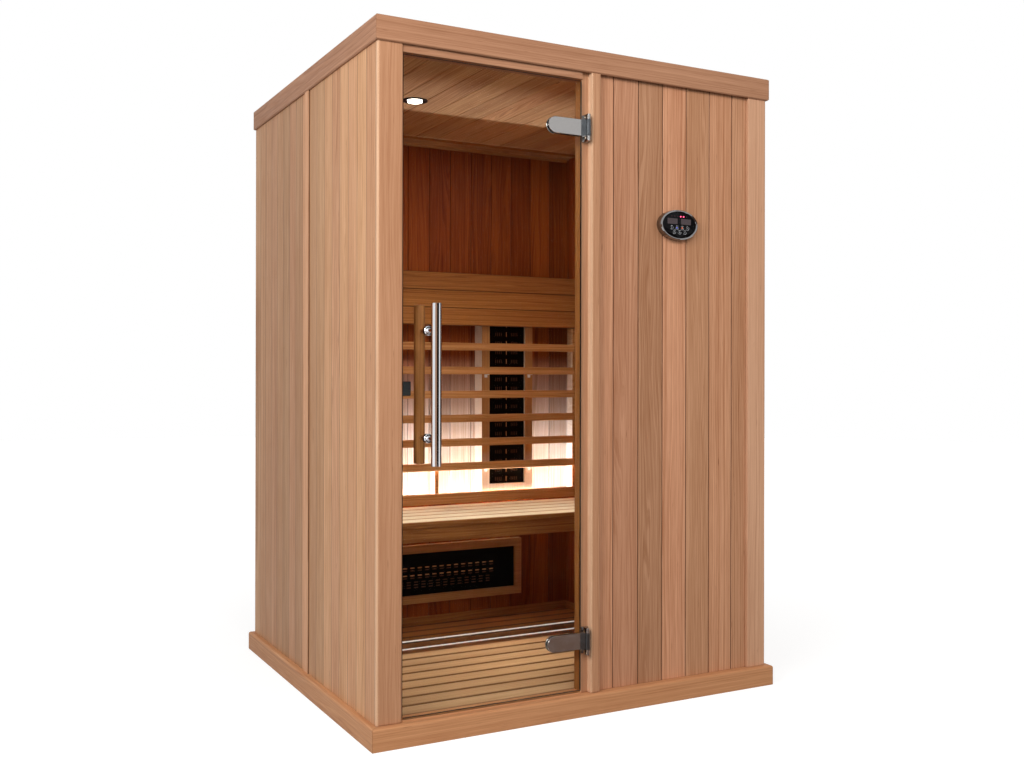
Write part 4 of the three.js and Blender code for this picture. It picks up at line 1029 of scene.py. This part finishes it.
class SAUNA_OT_lights(bpy.types.Operator):
    """Lights the strip behind the backrest, paints glowing light lines on the base, and builds the ceiling
    lights
    """

    bl_idname = "sauna.lights"
    bl_label = "Lights"

    def execute(self, context):
        colours = context.scene.cabin_colours
        # The strip's opal cover glows cold white, and the lamps' lenses glow warm white in black rings.
        dress(["light_strip"], glowing("opal_strip_lit", colours.strip, 1.2))
        lens = glowing("lamp_lens_lit", colours.lamp, 9.0)
        ring = moulded("abs_lamp_ring_black", colours.black, 0.3, 0.4, 2 * MM)
        self.add_strip_light(colours)
        self.add_light_lines(context)
        for side in SIDES:
            self.add_downlight(colours, f"downlight_{side}", ring, lens)
        self.add_bounce(colours)
        return {"FINISHED"}

    def add_downlight(self, colours, node, ring, lens):
        """A can in the ceiling with a flat ring and a lens, a spot beam and a soft glow."""
        low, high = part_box(node)
        x, y = (low.x + high.x) / 2, (low.y + high.y) / 2
        radius, lens_radius, can_radius = (high.x - low.x) / 2, 24 * MM, 34 * MM
        lens_edge = (lens_radius, 3 * MM)
        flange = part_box("roof_panel")[0].z - low.z - SEAT_GAP
        can = high.z - low.z
        cup = [lens_edge, (lens_radius + 5 * MM, 0.8 * MM), (can_radius, 0), (radius - 2 * MM, 0),
               (radius, 1.2 * MM), (radius, flange), (can_radius, flange), (can_radius, can), (0, can)]
        place = Matrix.Translation((x, y, low.z))
        mesh = bmesh.new()
        turned(mesh, cup, place)
        turned(mesh, [(0, 2.4 * MM), (0.7 * lens_radius, 2.6 * MM), lens_edge], place, finish=1)
        bmesh.ops.remove_doubles(mesh, verts=mesh.verts, dist=WELD)
        add_piece(f"{node}_turned", mesh, "cabin", [ring, lens], [node])
        add_lamp(f"{node}_beam", "SPOT", (x, y, low.z - 4 * MM), power=46, colour=colours.lamp,
                 spot_size=math.radians(40), spot_blend=1.0, shadow_soft_size=4 * MM)
        add_lamp(f"{node}_glow", "AREA", (x, y, low.z - 2 * MM), power=1.7, colour=colours.lamp,
                 shape="DISK", size=2 * lens_radius)

    def add_strip_light(self, colours):
        """The row of small lamps in the strip, shining upwards."""
        low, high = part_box("light_strip")
        add_lamp("light_strip_beam", "AREA", (0, (low.y + high.y) / 2, high.z + 1 * MM), power=11,
                 colour=colours.strip, turn=UPWARDS, shape="RECTANGLE", size=high.x - low.x, size_y=2 * MM)

    def add_light_lines(self, context):
        """Two thin strips across the base boards under the bench, which glow as painted light lines."""
        colours, sizes = context.scene.cabin_colours, context.scene.cabin_sizes
        low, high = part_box("floor_panel")
        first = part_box("duckboard")[1].y + sizes.line_setback
        mesh = bmesh.new()
        for y in (first, first + sizes.line_spacing):
            corner = (high.x, y + sizes.line_depth, high.z + sizes.line_height)
            brick(mesh, (low.x, y, high.z), corner, 0.3 * sizes.line_depth)
        # Painted light: the strips glow weakly in a pinkish white, though they are no lamp, as bright lines
        # in the shade under the bench
        lit = glowing("opal_line_lit", colours.line, 0.55)
        add_piece("base_light_lines", mesh, "cabin", [lit])

    def add_bounce(self, colours):
        """A weak sheet of light over the bench, for what pale walls would throw back at the ceiling."""
        low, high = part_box("bench_seat")
        lift, deep = 0.3, 0.5
        sheet = add_lamp("ceiling_bounce", "AREA", (0, 0, high.z + lift), power=0.8, colour=colours.lamp,
                         turn=UPWARDS, shape="RECTANGLE", size=high.x - low.x, size_y=deep)
        sheet.visible_glossy = False
        sheet.visible_transmission = False


class SAUNA_OT_power_box(bpy.types.Operator):
    """Builds the power box on the roof with its lid, screws and cable gland"""

    bl_idname = "sauna.power_box"
    bl_label = "Power box"

    def execute(self, context):
        colours, sizes = context.scene.cabin_colours, context.scene.cabin_sizes
        # Powder coating is a matt grey with a fine grit, and the nylon gland is a dull black.
        paint = moulded("steel_box_powder_coated", colours.paint, 0.45, 0.6, 1.5 * MM)
        dark = moulded("nylon_gland_moulded", colours.black, 0.4, 0.5, 1.5 * MM)
        steel = bpy.data.materials["steel_chromed_polished"]
        low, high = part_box("power_box")
        gland_reach, lid, lip, inset = 14 * MM, 6 * MM, 1 * MM, 12 * MM
        back, lid_top = high.y - gland_reach, high.z - lip
        mesh = bmesh.new()
        brick(mesh, (low.x + lip, low.y + lip, low.z), (high.x - lip, back - lip, high.z - lid), sizes.edge)
        brick(mesh, (low.x, low.y, high.z - lid - 0.5 * MM), (high.x, back, lid_top), sizes.edge)
        for x in (low.x + inset, high.x - inset):
            for y in (low.y + inset, back - inset):
                screw_head(mesh, Matrix.Translation((x, y, lid_top)), sizes.screw, 1)
        collar, waist, nut, bore = 8 * MM, 6.5 * MM, 7.5 * MM, 3.5 * MM
        gland = [(0, -2 * MM), (collar, -2 * MM), (collar, 4 * MM), (waist, 5 * MM), (nut, 6 * MM),
                 (nut, 12 * MM), (5 * MM, gland_reach), (bore, gland_reach), (bore, 6 * MM), (0, 6 * MM)]
        turned(mesh, gland, facing_back((low.x + high.x) / 2, back, (low.z + high.z) / 2), 32, finish=2)
        add_piece("power_box_painted", mesh, "cabin", [paint, steel, dark], ["power_box"])
        return {"FINISHED"}


class SAUNA_OT_stage(bpy.types.Operator):
    """Adds the pale floor, the soft studio light and the camera"""

    bl_idname = "sauna.stage"
    bl_label = "Stage"

    def execute(self, context):
        context.scene.view_settings.view_transform = "Standard"
        self.add_world(context)
        self.add_floor(context)
        self.add_cards(context)
        self.add_softbox("key_softbox", place=(-3.1, -2.3, 2.4), aim=(-0.4, -0.2, 0.9), size=1.8, power=90)
        front = self.add_softbox("front_softbox", place=(-1.2, -4.6, 3.3), aim=(0.2, -0.6, 1.4), size=1.6,
                                 power=80)
        fill = self.add_softbox("fill_softbox", place=(2.9, -4.4, 3.2), aim=(0.3, 0.0, 1.1), size=2.6,
                                power=46)
        front.visible_glossy = False
        fill.visible_glossy = False
        self.add_camera(context)
        return {"FINISHED"}

    def seen(self, tree):
        """One where the background is looked at, straight or by way of metal and glass, and else nought."""
        add = partial(add_node, tree)
        path = add("LightPath")
        mirrored = add("Math", {"operation": "MAXIMUM"}, {
            0: path["Is Glossy Ray"], 1: path["Is Transmission Ray"]})[0]
        shown = add("Math", {"operation": "MAXIMUM"}, {0: path["Is Camera Ray"], 1: mirrored})[0]
        first = add("Math", {"operation": "LESS_THAN"}, {0: path["Diffuse Depth"], 1: 0.5})[0]
        return add("Math", {"operation": "MULTIPLY"}, {0: shown, 1: first})[0]

    def add_world(self, context):
        """White behind the cabin and in its reflections, and a softer grey as light."""
        world = bpy.data.worlds.new("studio_white")
        world.use_nodes = True
        context.scene.world = world
        world.node_tree.nodes.clear()
        add = partial(add_node, world.node_tree)
        strength = add("MapRange", inputs={
            "Value": self.seen(world.node_tree), "To Min": 0.30, "To Max": 1.0})[0]
        sky = add("Background", inputs={"Color": WHITE, "Strength": strength})[0]
        add("OutputWorld", inputs={"Surface": sky})

    def add_floor(self, context):
        """A pale matt floor that fades to white away from the cabin and keeps its shadow."""
        material, tree = new_material("studio_floor_matt_white")
        add = partial(add_node, tree)
        distance = add("VectorMath", {"operation": "LENGTH"}, {0: add("TexCoord")["Object"]})["Value"]
        white = add("MapRange", inputs={
            "Value": distance, "From Min": 1.0, "From Max": 4.0, "To Min": 0.80, "To Max": 1.0})[0]
        shine = add("Math", {"operation": "MULTIPLY"}, {0: self.seen(tree), 1: white})[0]
        shader = add("BsdfPrincipled", inputs={
            "Base Color": linear("#9a9896"), "Roughness": 0.8, "Specular IOR Level": 0.1,
            "Emission Color": WHITE, "Emission Strength": shine})[0]
        add("OutputMaterial", inputs={"Surface": shader})
        mesh = bmesh.new()
        bmesh.ops.create_circle(mesh, cap_ends=True, segments=96, radius=14)
        self.add_backdrop(context, "studio_floor", mesh, material)

    def add_cards(self, context):
        """Toned cards round the camera and on the floor, which only reflections show."""
        foot, top, high, lift = 0.2, 1.75, 2.8, 0.005

        def stand(name, left, right, low, high_edge, colour):
            """An upright card between two points on the floor."""
            corners = [(*left, low), (*right, low), (*right, high_edge), (*left, high_edge)]
            self.add_card(context, name, corners, colour)

        stand("studio_card_black", (-1.63, -5.51), (2.29, -4.79), foot, top, "#1c1210")
        stand("studio_card_brown", (-4.5, -3.65), (-1.63, -5.51), foot, top, "#b08a70")
        stand("studio_card_slate", (4.6, -3.4), (5.2, 0.6), foot, high, "#4c4c4e")
        stand("studio_card_high", (-2.15, -1.41), (-1.51, -2.31), top, high, "#3a4044")
        left, right, front, back = -1.3, 1.4, -2.4, -0.75
        mat = [(left, front, lift), (right, front, lift), (right, back, lift), (left, back, lift)]
        self.add_card(context, "studio_card_floor", mat, "#8f7264")

    def add_card(self, context, name, corners, colour):
        """A sheet of evenly toned paper."""
        material, tree = new_material(f"{name}_paper")
        paper = add_node(tree, "Emission", inputs={"Color": linear(colour), "Strength": 1.0})[0]
        add_node(tree, "OutputMaterial", inputs={"Surface": paper})
        mesh = bmesh.new()
        mesh.faces.new([mesh.verts.new(corner) for corner in corners])
        card = self.add_backdrop(context, name, mesh, material)
        card.visible_camera = False
        card.visible_diffuse = False
        card.visible_shadow = False
        card.visible_transmission = False

    def add_backdrop(self, context, name, mesh, material):
        """Makes a mesh an object of the stage."""
        data = bpy.data.meshes.new(name)
        mesh.to_mesh(data)
        mesh.free()
        data.materials.append(material)
        backdrop = bpy.data.objects.new(name, data)
        context.scene.collection.objects.link(backdrop)
        return backdrop

    def add_softbox(self, name, place, aim, size, power):
        """A square soft light at a place, aimed at a point."""
        turn = (Vector(aim) - Vector(place)).to_track_quat("-Z", "Y").to_euler()
        return add_lamp(name, "AREA", place, power, turn=turn, shape="SQUARE", size=size)

    def add_camera(self, context):
        """The photograph's viewpoint: level, a little left of the cabin's front."""
        image_width, focal_pixels, horizon_rise = 1024, 1085.686, 7.96
        heading, roll = math.radians(28.265), math.radians(0.112)
        place = (-1.6697, -3.2217, 0.9666)
        data = bpy.data.cameras.new("camera")
        data.sensor_width = 36
        data.lens = focal_pixels * data.sensor_width / image_width
        data.shift_y = -horizon_rise / image_width
        camera = bpy.data.objects.new("camera", data)
        level = Matrix.Rotation(-heading, 4, "Z") @ Matrix.Rotation(math.pi / 2, 4, "X")
        camera.matrix_world = Matrix.Translation(place) @ level @ Matrix.Rotation(roll, 4, "Z")
        context.scene.collection.objects.link(camera)
        context.scene.camera = camera


OPERATORS = (
    SAUNA_OT_outside, SAUNA_OT_inside, SAUNA_OT_trims, SAUNA_OT_door, SAUNA_OT_key_panel,
    SAUNA_OT_heaters, SAUNA_OT_lights, SAUNA_OT_power_box, SAUNA_OT_stage,
)


class SAUNA_PT_panel(bpy.types.Panel):
    """Lists the cabin's pieces in the sidebar"""

    bl_idname = "SAUNA_PT_panel"
    bl_label = "Sauna cabin"
    bl_space_type = "VIEW_3D"
    bl_region_type = "UI"
    bl_category = "Sauna"

    def draw(self, context):
        """Draws one button for each operator."""
        for operator in OPERATORS:
            self.layout.operator(operator.bl_idname)


CLASSES = (CabinColours, CabinSizes, *OPERATORS, SAUNA_PT_panel)


def register():
    """Registers the classes and puts their colours and sizes on the scene."""
    for cls in CLASSES:
        bpy.utils.register_class(cls)
    bpy.types.Scene.cabin_colours = bpy.props.PointerProperty(type=CabinColours)
    bpy.types.Scene.cabin_sizes = bpy.props.PointerProperty(type=CabinSizes)


def unregister():
    """Takes the colours and sizes off the scene and unregisters the classes."""
    del bpy.types.Scene.cabin_sizes
    del bpy.types.Scene.cabin_colours
    for cls in reversed(CLASSES):
        bpy.utils.unregister_class(cls)


def main():
    register()
    for operator in OPERATORS:
        group, name = operator.bl_idname.split(".")
        getattr(getattr(bpy.ops, group), name)()


if __name__ == "__main__":
    main()
